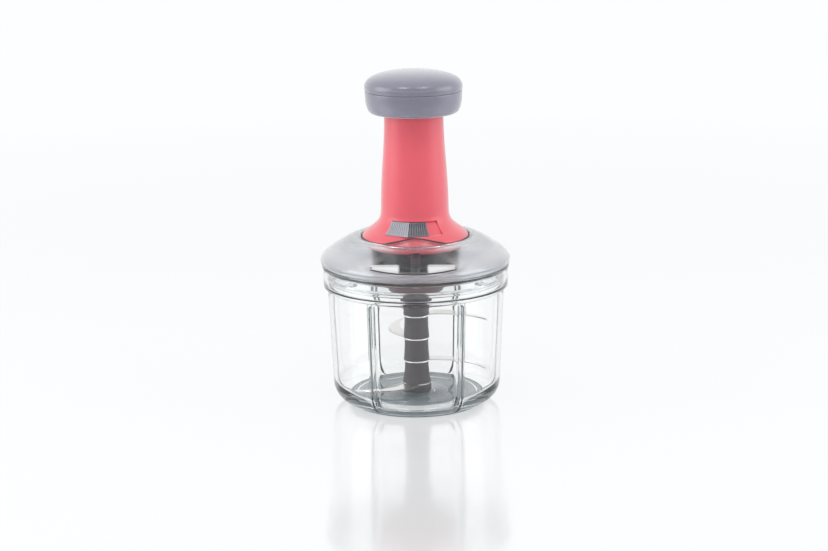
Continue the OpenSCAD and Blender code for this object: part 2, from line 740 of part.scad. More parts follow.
module gear_case() {
    ear_t = 3.4;
    ear_z = plateau_z + 0.05;
    color(case_grey) difference() {
        union() {
            translate([0, 0, cover_z]) cylinder(r = case_r, h = case_top_z - cover_z);
            for (a = screw_angles) rotate([0, 0, a]) {
                translate([screw_ring_r, 0, ear_z])
                    cylinder(r = screw_post_r, h = cover_z + ear_t - ear_z, $fn = 32);
                translate([case_r - 1, -2, cover_z]) cube([screw_ring_r - case_r, 4, ear_t]);
            }
        }
        translate([0, 0, cover_z - over]) cylinder(r = case_in_r,
            h = case_top_z - case_top_t - cover_z + over);
        translate([0, 0, cover_z]) cylinder(r = journal_r + 2.5, h = 2 * (case_top_z - cover_z));
        screw_holes(screw_r + set_gap, ear_z - over, cover_z + ear_t + over);
    }
}

module gear_case_cover() {
    color(case_grey) difference() {
        rotate_extrude() polygon([
            [0, neck_z], [neck_r, neck_z], [neck_r, plateau_z + 0.1], [case_r - 0.4, cover_z - 0.7],
            [case_r - 0.4, cover_z - 0.05], [case_in_r - 0.1, cover_z - 0.05],
                [case_in_r - 0.1, cover_z], [0, cover_z]]);
        translate([0, 0, neck_z - over]) cylinder(r = shaft_r + 4, h = 1.8 + over);
        translate([0, 0, neck_z]) cylinder(r = shaft_r + 2, h = 20);
    }
}

module ring_gear() {
    turn = 90 / ring_teeth * 2;
    color(steel) translate([0, 0, cover_z + 0.05]) difference() {
        cylinder(r = case_in_r - set_gap / 2, h = gear_t + 0.6);
        translate([0, 0, -over]) rotate([0, 0, turn]) linear_extrude(gear_t + 4)
            polygon(gear_outline(ring_teeth, tooth_ded, tooth_add, -tooth_thin));
    }
}

module spindle_bush() {
    color(brass) ring(journal_r + 2.5, journal_r + run_fit, case_top_z - case_top_t, case_top_t + 1.8);
}

module output_bush() {
    color(brass) ring(shaft_r + 2, shaft_r + run_fit, neck_z + 1.8, cover_z - neck_z - 1.8);
}

module shaft_seal() {
    color(soft_dark) ring(shaft_r + 4, shaft_r + free_gap, neck_z + 0.1, 1.6);
}

// ---------- gears and spindle ----------

module sun_gear() {
    color(steel) difference() {
        translate([0, 0, gear_z]) linear_extrude(gear_t)
            polygon(gear_outline(sun_teeth, tooth_add, tooth_ded, tooth_thin));
        translate([0, 0, gear_z - over]) cylinder(r = stub_r, h = gear_t + 2 * over);
    }
}

module planet_gear(k) {
    a = planet_angles[k];
    color(white_nylon) rotate([0, 0, a]) translate([planet_orbit_r, 0, gear_z]) difference() {
        rotate([0, 0, 180 / planet_teeth]) linear_extrude(gear_t)
            polygon(gear_outline(planet_teeth, tooth_add, tooth_ded, tooth_thin));
        translate([0, 0, -over]) cylinder(r = planet_pin_r + run_fit, h = gear_t + 2 * over);
    }
}

module planet_pins() {
    color(steel) for (a = planet_angles) rotate([0, 0, a])
        translate([planet_orbit_r, 0, gear_z + 0.1])
            cylinder(r = planet_pin_r, h = carrier_z + carrier_t - gear_z - 0.1);
}

// One ratchet tooth with an upright face and a ramp, standing on z = 0
module ratchet_tooth(height) {
    tooth_in_r = 8;
    tooth_l = 4.5;
    tooth_w = 5;
    translate([tooth_in_r, 0, 0]) rotate([90, 0, 90]) linear_extrude(tooth_l)
        polygon([[0, -0.2], [tooth_w, -0.2], [tooth_w, 0], [0, height]]);
}

module planet_carrier() {
    color(case_grey) {
        difference() {
            translate([0, 0, carrier_z]) cylinder(r = carrier_r, h = carrier_t);
            translate([0, 0, carrier_z - over]) cylinder(r = 3.05, h = carrier_t + 2 * over);
            for (a = planet_angles) rotate([0, 0, a])
                translate([planet_orbit_r, 0, carrier_z - over])
                    cylinder(r = planet_pin_r, h = carrier_t + 2 * over);
        }
        for (i = [0:dog_count - 1]) rotate([0, 0, i * 360 / dog_count])
            translate([0, 0, carrier_z + carrier_t]) ratchet_tooth(dog_h);
    }
}

module clutch_plate() {
    color(steel) {
        ring(13, 5.1, clutch_z, clutch_t, $fn = 96);
        for (i = [0:dog_count - 1]) rotate([0, 0, i * 360 / dog_count - 1])
            translate([0, 0, clutch_z]) rotate([180, 0, 0]) ratchet_tooth(dog_h * 0.9);
    }
}

module clutch_washer() {
    color(steel) ring(9.4, 6.6, clutch_z + clutch_t, 0.5);
}

module spindle() {
    foot_z = clutch_z - dog_h - set_gap;
    color(steel) {
        translate([0, 0, carrier_z + 0.2]) cylinder(r = 3, h = foot_z - carrier_z);
        translate([0, 0, foot_z + 0.1]) cylinder(r = 5, h = case_top_z - case_top_t - foot_z);
        translate([0, 0, case_top_z - case_top_t])
            cylinder(r = journal_r, h = spindle_z - case_top_z + case_top_t);
        helix_bar(spindle_z - 0.1, tube_z + nut_h + 4 - spindle_z, 0);
    }
}

module output_shaft() {
    color(steel) {
        translate([0, 0, socket_z + 1]) cylinder(r = drive_r, h = neck_z - 0.2 - socket_z - 1, $fn = 6);
        translate([0, 0, neck_z - 0.3]) cylinder(r = shaft_r, h = gear_z - neck_z + 0.3);
        translate([0, 0, gear_z - 0.1]) cylinder(r = stub_r, h = gear_t + 0.1);
    }
}

// ---------- plunger and knob ----------

module tongue_slots() {
    groove_z = lock_ring_z - 0.5 - (tube_z - stroke);
    groove_h = lock_ring_t + 1;
    for (a = [0, 180]) {
        box_points(tube_in_r - 0.4, tube_r + over, tube_z - over, tube_z + groove_z + groove_h,
                   a - slot_half, a + slot_half);
        box_points(tube_in_r - 0.4, tube_r + over, tube_z + groove_z, tube_z + groove_z + groove_h,
                   a - slot_half, a + lock_turn + slot_half);
    }
}

module plunger_tube() {
    color(white_nylon) difference() {
        union() {
            translate([0, 0, tube_z]) cylinder(r = tube_r, h = tube_top_z - tube_z);
            translate([0, 0, flange_z]) cylinder(r = bore_r - free_gap, h = flange_h);
            for (a = [90, -90]) rotate([0, 0, a]) translate([tube_r - 1, -key_w / 2, flange_z])
                cube([bore_r + key_out - free_gap - tube_r + 1, key_w, flange_h]);
        }
        translate([0, 0, tube_z - over]) cylinder(r = tube_in_r, h = tube_top_z - 3 - tube_z + over);
        translate([0, 0, tube_top_z - 4]) cylinder(r = 2.1, h = 8);
        tongue_slots();
        nut_pin_holes();
    }
}

module nut_pin_holes(r = 1) {
    for (a = [90, -90]) rotate([0, 0, a]) translate([tube_in_r - 2.4, 0, tube_z + nut_h / 2])
        rotate([0, 90, 0])
        cylinder(r = r, h = tube_wall + 2.3, $fn = 32);
}

module nut_pins() {
    color(steel) nut_pin_holes();
}

module drive_nut() {
    color(brass) difference() {
        translate([0, 0, tube_z]) cylinder(r = tube_in_r - run_fit, h = nut_h);
        helix_bar(tube_z - over, nut_h + 2 * over, nut_h_clear);
        nut_pin_holes();
        tongue_slots();
    }
}

module knob_screw() {
    color(steel) difference() {
        union() {
            translate([0, 0, tube_top_z - 5.2]) cylinder(r = 3.4, h = 2.2, $fn = 48);
            translate([0, 0, tube_top_z - 3.1]) cylinder(r = 2, h = 8, $fn = 48);
        }
        translate([0, 0, tube_top_z - 5.7]) cylinder(r = 1.5, h = 1.8, $fn = 6);
    }
}

function cap_outside() = concat(
    [[knob_r - 0.2, seam_z], [knob_r, seam_z + 1.2], [knob_r, seam_z + 2.6]],
    curve([knob_r, seam_z + 2.6], [knob_r - 0.1, seam_z + 6.2], [knob_r - 3, seam_z + 8.4],
          [knob_r - 7, knob_top_z - 3.9], 8),
    curve([knob_r - 7, knob_top_z - 3.9], [knob_r - 13, knob_top_z - 1.5], [knob_r - 22, knob_top_z],
        [0, knob_top_z], 10));

function cap_inside() = concat(
    [[spigot_r, seam_z], [spigot_r, seam_z - 3], [spigot_r - 1.4, seam_z - 3], [spigot_r - 1.4, seam_z + 1],
     [knob_r - knob_t, seam_z + 2.6]],
    curve([knob_r - knob_t, seam_z + 2.6], [knob_r - knob_t - 0.1, seam_z + 5],
        [knob_r - knob_t - 2.4, seam_z + 6.6],
          [knob_r - knob_t - 5.6, knob_top_z - 3.9 - knob_t + 0.3], 8),
    curve([knob_r - knob_t - 5.6, knob_top_z - 3.6 - knob_t], [knob_r - 13, knob_top_z - 1.6 - knob_t],
          [knob_r - 22, knob_top_z - knob_t], [0, knob_top_z - knob_t], 8));

module knob_cap() {
    boss_r = 9;
    color(knob_grey) {
        rotate_extrude() polygon(concat(cap_outside(), backwards(cap_inside())));
        difference() {
            translate([0, 0, tube_top_z]) cylinder(r = boss_r, h = knob_top_z - knob_t / 2 - tube_top_z);
            translate([0, 0, tube_top_z - over]) cylinder(r = 2 + run_fit, h = 6 + over);
        }
    }
}

module knob_skirt() {
    low_r = knob_r - 5.2;
    color(knob_grey) rotate_extrude() polygon(concat(
        [[knob_mouth_r, knob_z], [low_r, knob_z]],
        curve([low_r, knob_z], [low_r + 2.6, knob_z], [knob_r - 1.4, knob_z + 3.4],
            [knob_r - 0.6, knob_z + 8], 8),
        [[knob_r - 0.2, seam_z - 0.6], [knob_r - 0.5, seam_z - 0.1], [knob_r - knob_t, seam_z - 0.1],
         [knob_r - knob_t - 0.1, knob_z + 9]],
        curve([knob_r - knob_t - 0.4, knob_z + 8], [knob_r - knob_t - 1, knob_z + 4.4],
              [low_r + 0.8, knob_z + knob_t], [low_r - 1, knob_z + knob_t], 8),
        [[knob_mouth_r, knob_z + knob_t]]));
}

// ---------- lock ----------

module lock_ring() {
    arm_out_r = column_r(lock_ring_z + lock_ring_t / 2) - 0.4;
    arm_from = slider_from + 22;
    arm_to = slider_to - 22;
    color(case_grey) translate([0, 0, lock_ring_z]) linear_extrude(lock_ring_t) {
        difference() {
            circle(r = lock_bore_r - free_gap);
            circle(r = tube_r + 0.6);
        }
        flat_sector(lock_bore_r - 1.5, arm_out_r, arm_from, arm_to);
        for (a = [0, 180]) flat_sector(tongue_r, tube_r + 1.4, a - tongue_half, a + tongue_half);
    }
}

// Strip along the slider's slanted face at one direction round Z
module slider_strip(a, proud) {
    low = slot_z + free_gap;
    high = slot_z + slot_h - free_gap;
    rotate([0, 0, a]) rotate([90, 0, 0]) linear_extrude(0.1) polygon([
        [column_r(low) - slot_depth + 0.1, low], [column_r(low) + proud, low],
        [column_r(high) + proud, high], [column_r(high) - slot_depth + 0.4, high]]);
}

// Radius at direction a of the straight line between two points given by direction and radius
function chord_r(a, a1, r1, a2, r2) = r1 * r2 * sin(a2 - a1) / (r1 * sin(a - a1) + r2 * sin(a2 - a));

// Radius of the slider's face at direction a and height z
function slider_face_r(a, z) = a < slider_ridge
    ? chord_r(a, slider_from, column_r(z) + slider_edge_proud, slider_ridge, column_r(z) + slider_proud)
    : chord_r(a, slider_ridge, column_r(z) + slider_proud, slider_to, column_r(z) + slider_edge_proud);

// Upright groove between two ribs of the slider
module slider_groove(a) {
    groove_w = 0.7;
    groove_depth = 0.5;
    low = slot_z - 0.5;
    high = slot_z + slot_h + 0.5;
    low_r = slider_face_r(a, slot_z + free_gap) - groove_depth;
    high_r = slider_face_r(a, slot_z + slot_h - free_gap) - groove_depth;
    rotate([0, 0, a]) rotate([90, 0, 0]) linear_extrude(groove_w, center = true)
        polygon([[low_r, low], [base_r, low], [base_r, high], [high_r, high]]);
}

module lock_slider() {
    rib_count = 18;
    color([0.68, 0.70, 0.73]) difference() {
        union() {
            hull() {
                slider_strip(slider_from, slider_edge_proud);
                slider_strip(slider_ridge, slider_proud);
            }
            hull() {
                slider_strip(slider_ridge, slider_proud);
                slider_strip(slider_to, slider_edge_proud);
            }
        }
        rotate_extrude() polygon([
            [0, slot_z - 1], [column_r(slot_z - 1) - slot_depth + 0.1, slot_z - 1],
            [column_r(slot_z) - slot_depth + 0.1, slot_z],
            [column_r(slot_z + slot_h) - slot_depth + free_gap, slot_z + slot_h], [0, slot_z + slot_h]]);
        lock_ring_space();
        for (i = [1:rib_count - 1]) slider_groove(slider_from + (slider_to - slider_from) * i / rib_count);
    }
}

module lock_ring_space() {
    box_points(lock_bore_r - 1.5, column_r(lock_ring_z + lock_ring_t / 2) - 0.3, lock_ring_z - 0.1,
               lock_ring_z + lock_ring_t + 0.1, slider_from + 21.5, slider_to - 21.5);
}

bowl();
anti_slip_pad();
pivot_pin();
hub_core();
hub_foot();
hub_spacer(1);  // hub_spacer_1
hub_spacer(2);  // hub_spacer_2
hub_spacer(3);  // hub_spacer_3
hub_top();
blade(0);  // blade_1
blade(1);  // blade_2
blade(2);  // blade_3
blade(3);  // blade_4
lid_dome();
lid_floor();
lid_seal();
base_gasket();
drive_boss();
column_housing();
guide_bush();
housing_screws();
lock_retainer();
gear_case();
gear_case_cover();
ring_gear();
spindle_bush();
output_bush();
shaft_seal();
spring_seat();
return_spring();
knob_cap();
knob_skirt();
knob_screw();
plunger_tube();
drive_nut();
nut_pins();
spindle();
clutch_plate();
clutch_washer();
planet_carrier();
planet_pins();
planet_gear(0);  // planet_gear_1
planet_gear(1);  // planet_gear_2
planet_gear(2);  // planet_gear_3
output_shaft();
sun_gear();
lock_ring();
lock_slider();
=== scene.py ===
"""Looks of the plunger food chopper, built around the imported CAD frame.

Lengths are written in millimetres and turned into metres where a mesh is made. Directions
round the axis are in degrees: -90 is the front, 0 the right-hand side.
"""
import json
import math

import bpy
from mathutils import Matrix, Vector

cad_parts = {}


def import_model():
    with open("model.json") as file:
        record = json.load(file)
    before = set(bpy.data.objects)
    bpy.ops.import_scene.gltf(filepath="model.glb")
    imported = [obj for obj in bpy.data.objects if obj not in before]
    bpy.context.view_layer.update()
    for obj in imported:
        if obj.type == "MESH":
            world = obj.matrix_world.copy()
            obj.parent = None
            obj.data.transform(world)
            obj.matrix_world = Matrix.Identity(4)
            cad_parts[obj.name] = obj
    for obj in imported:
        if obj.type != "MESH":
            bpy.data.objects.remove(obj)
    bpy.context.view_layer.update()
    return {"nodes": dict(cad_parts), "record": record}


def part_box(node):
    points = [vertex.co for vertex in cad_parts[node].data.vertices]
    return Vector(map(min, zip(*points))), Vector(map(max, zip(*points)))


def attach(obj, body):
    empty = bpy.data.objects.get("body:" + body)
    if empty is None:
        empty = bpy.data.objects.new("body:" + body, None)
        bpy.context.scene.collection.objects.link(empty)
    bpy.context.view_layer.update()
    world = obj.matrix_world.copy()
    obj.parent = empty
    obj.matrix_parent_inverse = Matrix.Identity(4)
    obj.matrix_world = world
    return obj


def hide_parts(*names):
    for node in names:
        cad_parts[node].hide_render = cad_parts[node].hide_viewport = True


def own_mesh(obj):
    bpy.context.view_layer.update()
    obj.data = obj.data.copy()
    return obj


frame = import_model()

MM = 0.001
FRONT = -90

# ---------- sizes, as in the CAD ----------
# bowl and pad
RIM_R, LIP_R, BOWL_H, SHOULDER_Z = 65.3, 66.2, 101, 84.5
BODY_TOP_R, BODY_LOW_R, WALL = 62.5, 59.6, 2.4
CORNER_R, CORNER_X, CORNER_Z, FOOT_Z, FLOOR_Z = 14, 45.6, 14.9, 0.9, 6.2
PIN_SEAT_R, PIN_SEAT_H = 5.5, 2.6
FLUTES, FLUTE_R, FLUTE_OUT, FLUTE_TOP_Z, RIDGE_R = 6, 2.0, 0.6, 80, 4.2
PAD_R, PAD_T, PAD_GAP = 48, 3, 0.1
# blade unit
HUB_Z, HUB_TOP_Z, HUB_R, HUB_BORE, WAIST, FOOT_FLARE = 6.5, 95.4, 9.2, 6.5, 0.8, 1.0
LOW_COLLAR_Z, LOW_COLLAR_R, TOP_COLLAR_Z, TOP_COLLAR_R, COLLAR_T = 70, 11.5, 88.5, 12, 1.2
SOCKET_R, SOCKET_DEPTH, BORE_DEPTH = 5.7, 7, 9.5
BLADE_Z = (11.8, 28.4, 45.0, 61.6)
BLADE_TIPS = (206, 333, 100, 340)
BLADE_REACH = (48.1, 53.2, 53.2, 53.2)
BLADE_SWEEP, BLADE_W, BLADE_T = 45, 13, 1.0
# lid
RIM_Z, LID_R, DOME_T = 101.3, 67, 2.2
BASE_Z, BASE_R, NOTCH, NOTCH_WIDTH = 119.5, 37.5, 4.5, 24
CONE_R, CONE_Z = BASE_R + 10, BASE_Z - 0.9
PLATE_BORE, PLATE_Z, PLATE_T, CENTRE_R, CENTRE_T = 13.1, 97, 1.6, 36, 2.8
RING_R, RING_H, FLANGE_R, FLANGE_T = 52, 1.0, 64.6, 1.6
SKIRT_R, SKIRT_T, SKIRT_LOW_Z, SEAL_Z, SEAL_H, SEAL_IN = 61.6, 2.2, 89, 91, 2, 0.9
CUP_MOUTH_R, CUP_R, CUP_FLANGE_R, CUP_Z, CUP_FLANGE_T = 12.5, 22, 30.6, 83, 1.6
# column
COLUMN_TOP_Z, COLUMN_LOW_Z, COLUMN_TOP_R, COLUMN_LOW_R, FLARE = 208, BASE_Z + 20, 20.6, 23.8, 8.5
COLUMN_BORE, RING_BORE, BUSH_BORE = 18.3, 22, 14.6
RING_SEAT_Z, BUSH_SEAT_Z, BUSH_SEAT_T = BASE_Z + 5, BASE_Z + 17, 3
FUNNEL_R, FUNNEL_BORE, FUNNEL_Z, BASE_T = 26.8, 23.6, 110.8, 1.4
POSTS, POST_PLACE_R, POST_R, POST_BORE, POST_Z, POST_TOP_Z = 4, 27.2, 3.4, 1.6, 105.1, BASE_Z - 2.4
SLOT_FROM, SLOT_TO, SLOT_Z, SLOT_H = -130.5, -52, BASE_Z + 6, 8.8
SLIDER_FROM, SLIDER_TO, SLIDER_RIDGE = -130, -72.5, -100
SLIDER_GAP, SLIDER_OUT, SLIDER_RIDGE_OUT = 0.3, 1, 3.2
# knob and spring
KNOB_R, KNOB_Z, KNOB_TOP_Z, SEAM_Z, KNOB_T = 34.2, 207.5, 237.2, 223.3, 2.2
KNOB_LOW_R, KNOB_BORE, SPIGOT_GAP, SPIGOT_T, SPIGOT_H = KNOB_R - 5.2, 24.0, 0.2, 1.4, 3
BOSS_R, BOSS_Z, SCREW_BORE = 9, 229.2, 2.1
COIL_R, WIRE_R, CURLS, STROKE = 16.15, 0.8, 8, 24

# ---------- sizes that only the looks have ----------
FLUTE_SOFT, RIDGE_SOFT, RIDGE_SUNK = 0.03, 0.7, 0.5
FLUTE_END_TURN, FLUTE_END_SLOPE = 66, 0.22
FLUTE_SIDE_FROM, FLUTE_SIDE_TO, FLUTE_LOW_Z = 1.2, 1.98, 14
PAD_TOUCH, PAD_GROOVES, PAD_TREADS = 0.03, (12, 24, 36, 43), (44, 40, 36, 32)
BEVEL_FROM, EDGE_LOW, EDGE_HIGH = 0.72, 0.42, 0.58
DOME_LIP_H, DOME_LIP_W, DOME_ROWS, DOME_FRONT = 0.4, 1.9, 110, 34
WINDOW_X, WINDOW_TOP, WINDOW_TOP_BEND, WINDOW_TIP_BEND = -1.6, 116.6, 4.5e-3, 6e-6
WINDOW_LOW, WINDOW_LOW_BEND, WINDOW_BAND_BEND = 106.7, 1.8e-3, 3.6e-3
WINDOW_SINK_R, WINDOW_SINK_Z = 0.45, 0.25
RIM_SHADE_FROM, RIM_SHADE_TO, SATIN_FROM, SATIN_TO = 103, 109, 110, 115
SLOT_BEND, SLOT_SWELL, SLOT_SWELL_W, UNDER_WAVE = 0.12, 0.22, 1.6, 2.6
RIBS, RIB_STEPS, RIB_DEPTH = 18, 8, 0.75


# ---------- curves ----------
def arc(cx, cy, r, a, b, steps=10):
    """Points on a round arc, from direction a to b."""
    turns = [math.radians(a + (b - a) * i / steps) for i in range(steps + 1)]
    return [(cx + r * math.cos(t), cy + r * math.sin(t)) for t in turns]


def curve(p, q, r, s, steps=10):
    """Points on a cubic curve."""
    points = []
    for i in range(steps + 1):
        t = i / steps
        w = ((1 - t) ** 3, 3 * t * (1 - t) ** 2, 3 * t * t * (1 - t), t ** 3)
        points.append(tuple(sum(k * c[d] for k, c in zip(w, (p, q, r, s))) for d in (0, 1)))
    return points


def line(p, q, steps):
    """Points from p up to but not at q."""
    dx, dy = q[0] - p[0], q[1] - p[1]
    return [(p[0] + dx * i / steps, p[1] + dy * i / steps) for i in range(steps)]


def rounded(corners, steps=3):
    """A closed outline through corners (x, y, radius), with each corner turned in a small curve."""
    points = []
    for i, (x, y, r) in enumerate(corners):
        if r <= 0:
            points.append((x, y))
            continue
        here = Vector((x, y))
        before = Vector(corners[i - 1][:2]) - here
        after = Vector(corners[(i + 1) % len(corners)][:2]) - here
        cut = min(r, before.length * 0.48, after.length * 0.48)
        p, s = here + before.normalized() * cut, here + after.normalized() * cut
        for k in range(steps + 1):
            t = k / steps
            q = p * (1 - t) ** 2 + here * 2 * t * (1 - t) + s * t * t
            points.append((q.x, q.y))
    return points


def turn_from(b, a):
    """The turn from direction b to direction a, between -180 and 180."""
    return (a - b + 180) % 360 - 180


def polar(r, a):
    """x and y of a point at radius r in direction a."""
    return r * math.cos(math.radians(a)), r * math.sin(math.radians(a))


def column_r(z):
    """Radius of the red column and its flare at a height."""
    t = min(1, max(0, (COLUMN_TOP_Z - z) / (COLUMN_TOP_Z - COLUMN_LOW_Z)))
    shaft = COLUMN_TOP_R + (COLUMN_LOW_R - COLUMN_TOP_R) * (1 - math.cos(math.pi * t)) / 2
    return shaft + (BASE_R - COLUMN_LOW_R) * math.exp(-(max(0, z - BASE_Z) / FLARE) ** 2)


def base_edge_r(a):
    """Radius of the red base's outline in direction a, drawn in at the front."""
    return BASE_R - NOTCH * math.exp(-(turn_from(FRONT, a) / NOTCH_WIDTH) ** 2)


def above(value, soft):
    """value where it is over 0, and 0 below, with a soft bend of that width."""
    return (value + math.sqrt(value * value + soft * soft)) / 2


# ---------- meshes ----------
def add_piece(name, verts, faces, body, material, replaces=(), sharp=35):
    """A smooth mesh in metres that rides on a body and stands for CAD nodes."""
    mesh = bpy.data.meshes.new(name)
    mesh.from_pydata([(x * MM, y * MM, z * MM) for x, y, z in verts], [], faces)
    mesh.validate()
    for polygon in mesh.polygons:
        polygon.use_smooth = True
    mesh.set_sharp_from_angle(angle=math.radians(sharp))
    mesh.materials.append(material)
    piece = bpy.data.objects.new(name, mesh)
    bpy.context.scene.collection.objects.link(piece)
    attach(piece, body)
    if replaces:
        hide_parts(*replaces)
    return piece


def paint(piece, material, chosen):
    """A second material on the faces that are chosen by their polygon."""
    piece.data.materials.append(material)
    for polygon in piece.data.polygons:
        if chosen(polygon):
            polygon.material_index = 1


def even_turns(count):
    """Directions spread evenly over a full turn."""
    return [360 * i / count for i in range(count)]


def turned(outline, turns, shape=None, closed=True):
    """Vertices and faces of an outline of (radius, height) carried round the axis. shape(a, i, r, z)
    moves a point. An open outline starts and ends on the axis."""
    verts, faces = [], []
    n, m = len(outline), len(turns)
    for a in turns:
        for i, (r, z) in enumerate(outline):
            if shape:
                r, z = shape(a, i, r, z)
            verts.append((*polar(r, a), z))
    for j in range(m):
        k = (j + 1) % m
        for i in range(n if closed else n - 1):
            h = (i + 1) % n
            quad = (j * n + i, k * n + i, k * n + h, j * n + h)
            if not closed and i == 0:
                quad = (0, k * n + h, j * n + h)
            elif not closed and h == n - 1:
                quad = (j * n + i, k * n + i, h)
            faces.append(quad)
    if not closed:
        verts, faces = drop_unused(verts, faces)
    return verts, faces


def drop_unused(verts, faces):
    """The same mesh without the vertices that no face uses."""
    used = sorted({v for f in faces for v in f})
    place = {v: i for i, v in enumerate(used)}
    return [verts[v] for v in used], [tuple(place[v] for v in f) for f in faces]


def joined(*parts):
    """Several (vertices, faces) as one."""
    verts, faces = [], []
    for v, f in parts:
        faces += [tuple(i + len(verts) for i in face) for face in f]
        verts += v
    return verts, faces


def moved(part, x=0, y=0, z=0):
    """(vertices, faces) carried by x, y and z."""
    return [(vx + x, vy + y, vz + z) for vx, vy, vz in part[0]], part[1]


# ---------- shader nodes ----------
def tree(name):
    """A new material and its empty node tree."""
    material = bpy.data.materials.new(name)
    material.use_nodes = True
    material.node_tree.nodes.clear()
    return material, material.node_tree


def set_input(t, socket, value):
    """Links a socket to another node's, or sets its value."""
    if isinstance(value, bpy.types.NodeSocket):
        t.links.new(value, socket)
    else:
        socket.default_value = value


def add(t, kind, inputs=None, **settings):
    """A shader node; inputs are values or sockets to link."""
    node = t.nodes.new("ShaderNode" + kind)
    for key, value in settings.items():
        setattr(node, key, value)
    for key, value in (inputs or {}).items():
        set_input(t, node.inputs[key], value)
    return node


def object_place(t):
    """The shaded point in the object's own frame, in metres."""
    return add(t, "TexCoord").outputs["Object"]


def noise(t, place, scale, detail=2.0, rough=0.5):
    """A noise texture's value."""
    inputs = {"Vector": place, "Scale": scale, "Detail": detail, "Roughness": rough}
    return add(t, "TexNoise", inputs).outputs["Fac"]


def spread(t, value, low, high, from_low=0.3, from_high=0.7):
    """Maps a value, as a texture gives it, onto low..high."""
    return add(t, "MapRange", {"Value": value, "From Min": from_low, "From Max": from_high,
                               "To Min": low, "To Max": high}).outputs["Result"]


def math_node(t, operation, a, b=0.0, clamp=False):
    """One step of arithmetic on values or sockets."""
    return add(t, "Math", {0: a, 1: b}, operation=operation, use_clamp=clamp).outputs[0]


def times(t, a, b):
    return math_node(t, "MULTIPLY", a, b)


def mix_colour(t, factor, a, b):
    """Colour a where factor is 0, b where it is 1."""
    node = t.nodes.new("ShaderNodeMix")
    node.data_type = "RGBA"
    for index, value in ((0, factor), (6, a), (7, b)):
        set_input(t, node.inputs[index], value)
    return node.outputs[2]


def rgb(r, g, b):
    return (r, g, b, 1.0)


def drifting(t, factor, colour, share):
    """A colour that falls to a share of itself where factor is 1."""
    return mix_colour(t, factor, rgb(*colour), rgb(*[c * share for c in colour]))


def bump(t, height, strength, distance_mm):
    """A normal tilted by a height texture."""
    inputs = {"Height": height, "Strength": strength, "Distance": distance_mm * MM}
    return add(t, "Bump", inputs).outputs["Normal"]


def finish_surface(t, shader, volume=None):
    out = add(t, "OutputMaterial", {"Surface": shader})
    if volume:
        t.links.new(volume, out.inputs["Volume"])


# ---------- materials ----------
def moulded(name, light, dark, rough, sheen=0.0, specular=0.5):
    """Moulded plastic: slow colour drift, uneven gloss, a fine spark-eroded grain, a few soft scuffs
    and, with sheen, paler edges."""
    material, t = tree(name)
    place = object_place(t)
    drift = spread(t, noise(t, place, scale=45, detail=3), 0, 1)
    gloss = spread(t, noise(t, place, scale=55, detail=3), rough - 0.012, rough + 0.012)
    scuffs = spread(t, noise(t, place, scale=160, detail=6, rough=0.65), 0, 1, 0.55, 0.8)
    grain = noise(t, place, scale=1500, detail=2)
    shader = add(t, "BsdfPrincipled", {
        "Base Color": mix_colour(t, drift, rgb(*dark), rgb(*light)),
        "Roughness": math_node(t, "ADD", gloss, times(t, scuffs, 0.015)),
        "Specular IOR Level": specular, "Sheen Weight": sheen, "Sheen Roughness": 0.4,
        "Normal": bump(t, grain, strength=0.012, distance_mm=0.05)})
    finish_surface(t, shader.outputs[0])
    return material


def see_through(t, glass, tint):
    """Glass that lets lamps and diffuse light through as clear plastic does."""
    path = add(t, "LightPath")
    open_ray = math_node(t, "MAXIMUM", path.outputs["Is Shadow Ray"], path.outputs["Is Diffuse Ray"])
    clear = add(t, "BsdfTransparent", {"Color": rgb(*tint)})
    return add(t, "MixShader", {0: open_ray, 1: glass, 2: clear.outputs[0]}).outputs[0]


def clear_plastic(name, colour, rough, tint, ior=1.5, absorb=None, density=0):
    """Clear plastic with slight waves and traces of handling, and a tint that deepens with thickness."""
    material, t = tree(name)
    place = object_place(t)
    handling = spread(t, noise(t, place, scale=90, detail=5, rough=0.6), 0, 1, 0.5, 0.75)
    drift = spread(t, noise(t, place, scale=25, detail=2), 0, 1)
    waves = noise(t, place, scale=60, detail=2)
    glass = add(t, "BsdfPrincipled", {
        "Base Color": drifting(t, drift, colour, 0.985),
        "Roughness": math_node(t, "ADD", rough, times(t, handling, 0.02)),
        "IOR": ior, "Transmission Weight": 1.0,
        "Normal": bump(t, waves, strength=0.02, distance_mm=0.3)})
    volume = None
    if absorb:
        volume = add(t, "VolumeAbsorption", {"Color": rgb(*absorb), "Density": density}).outputs[0]
    finish_surface(t, see_through(t, glass.outputs[0], tint), volume)
    return material


def window_masks(t, place):
    """Masks of the polished window low at the dome's front: its inside, the painted shade line along its
    lower edge and the painted highlight bands low at its left and right."""
    in_mm = add(t, "VectorMath", {0: place, 1: (1 / MM,) * 3}, operation="MULTIPLY").outputs[0]
    at = add(t, "SeparateXYZ", {0: in_mm})
    x = math_node(t, "SUBTRACT", at.outputs[0], WINDOW_X)
    x2 = times(t, x, x)
    sag = math_node(t, "ADD", times(t, x2, WINDOW_TOP_BEND), times(t, times(t, x2, x2), WINDOW_TIP_BEND))
    under = math_node(t, "SUBTRACT", math_node(t, "SUBTRACT", WINDOW_TOP, sag), at.outputs[2])
    low = math_node(t, "ADD", WINDOW_LOW, times(t, x2, WINDOW_LOW_BEND))
    over = math_node(t, "SUBTRACT", at.outputs[2], low)
    inside = spread(t, math_node(t, "MINIMUM", under, over), 0, 1, -0.15, 0.15)
    # Painted shade: a dark line along the window's lower edge.
    low_edge = times(t, spread(t, math_node(t, "ABSOLUTE", over), 1, 0, 0.25, 0.5),
                     spread(t, under, 0, 1, -0.4, 0.0))
    # Painted highlight: pale bands low in the window at its left and right, standing in for reflections.
    beside = spread(t, math_node(t, "ABSOLUTE", x), 0, 1, 9.0, 11.0)
    taper = math_node(t, "ADD", over, times(t, x2, WINDOW_BAND_BEND))
    band = times(t, times(t, spread(t, taper, 1, 0, 4.1, 4.6), beside), inside)
    front = math_node(t, "LESS_THAN", at.outputs[1], 0.0)
    return [times(t, mask, front) for mask in (inside, low_edge, band)]


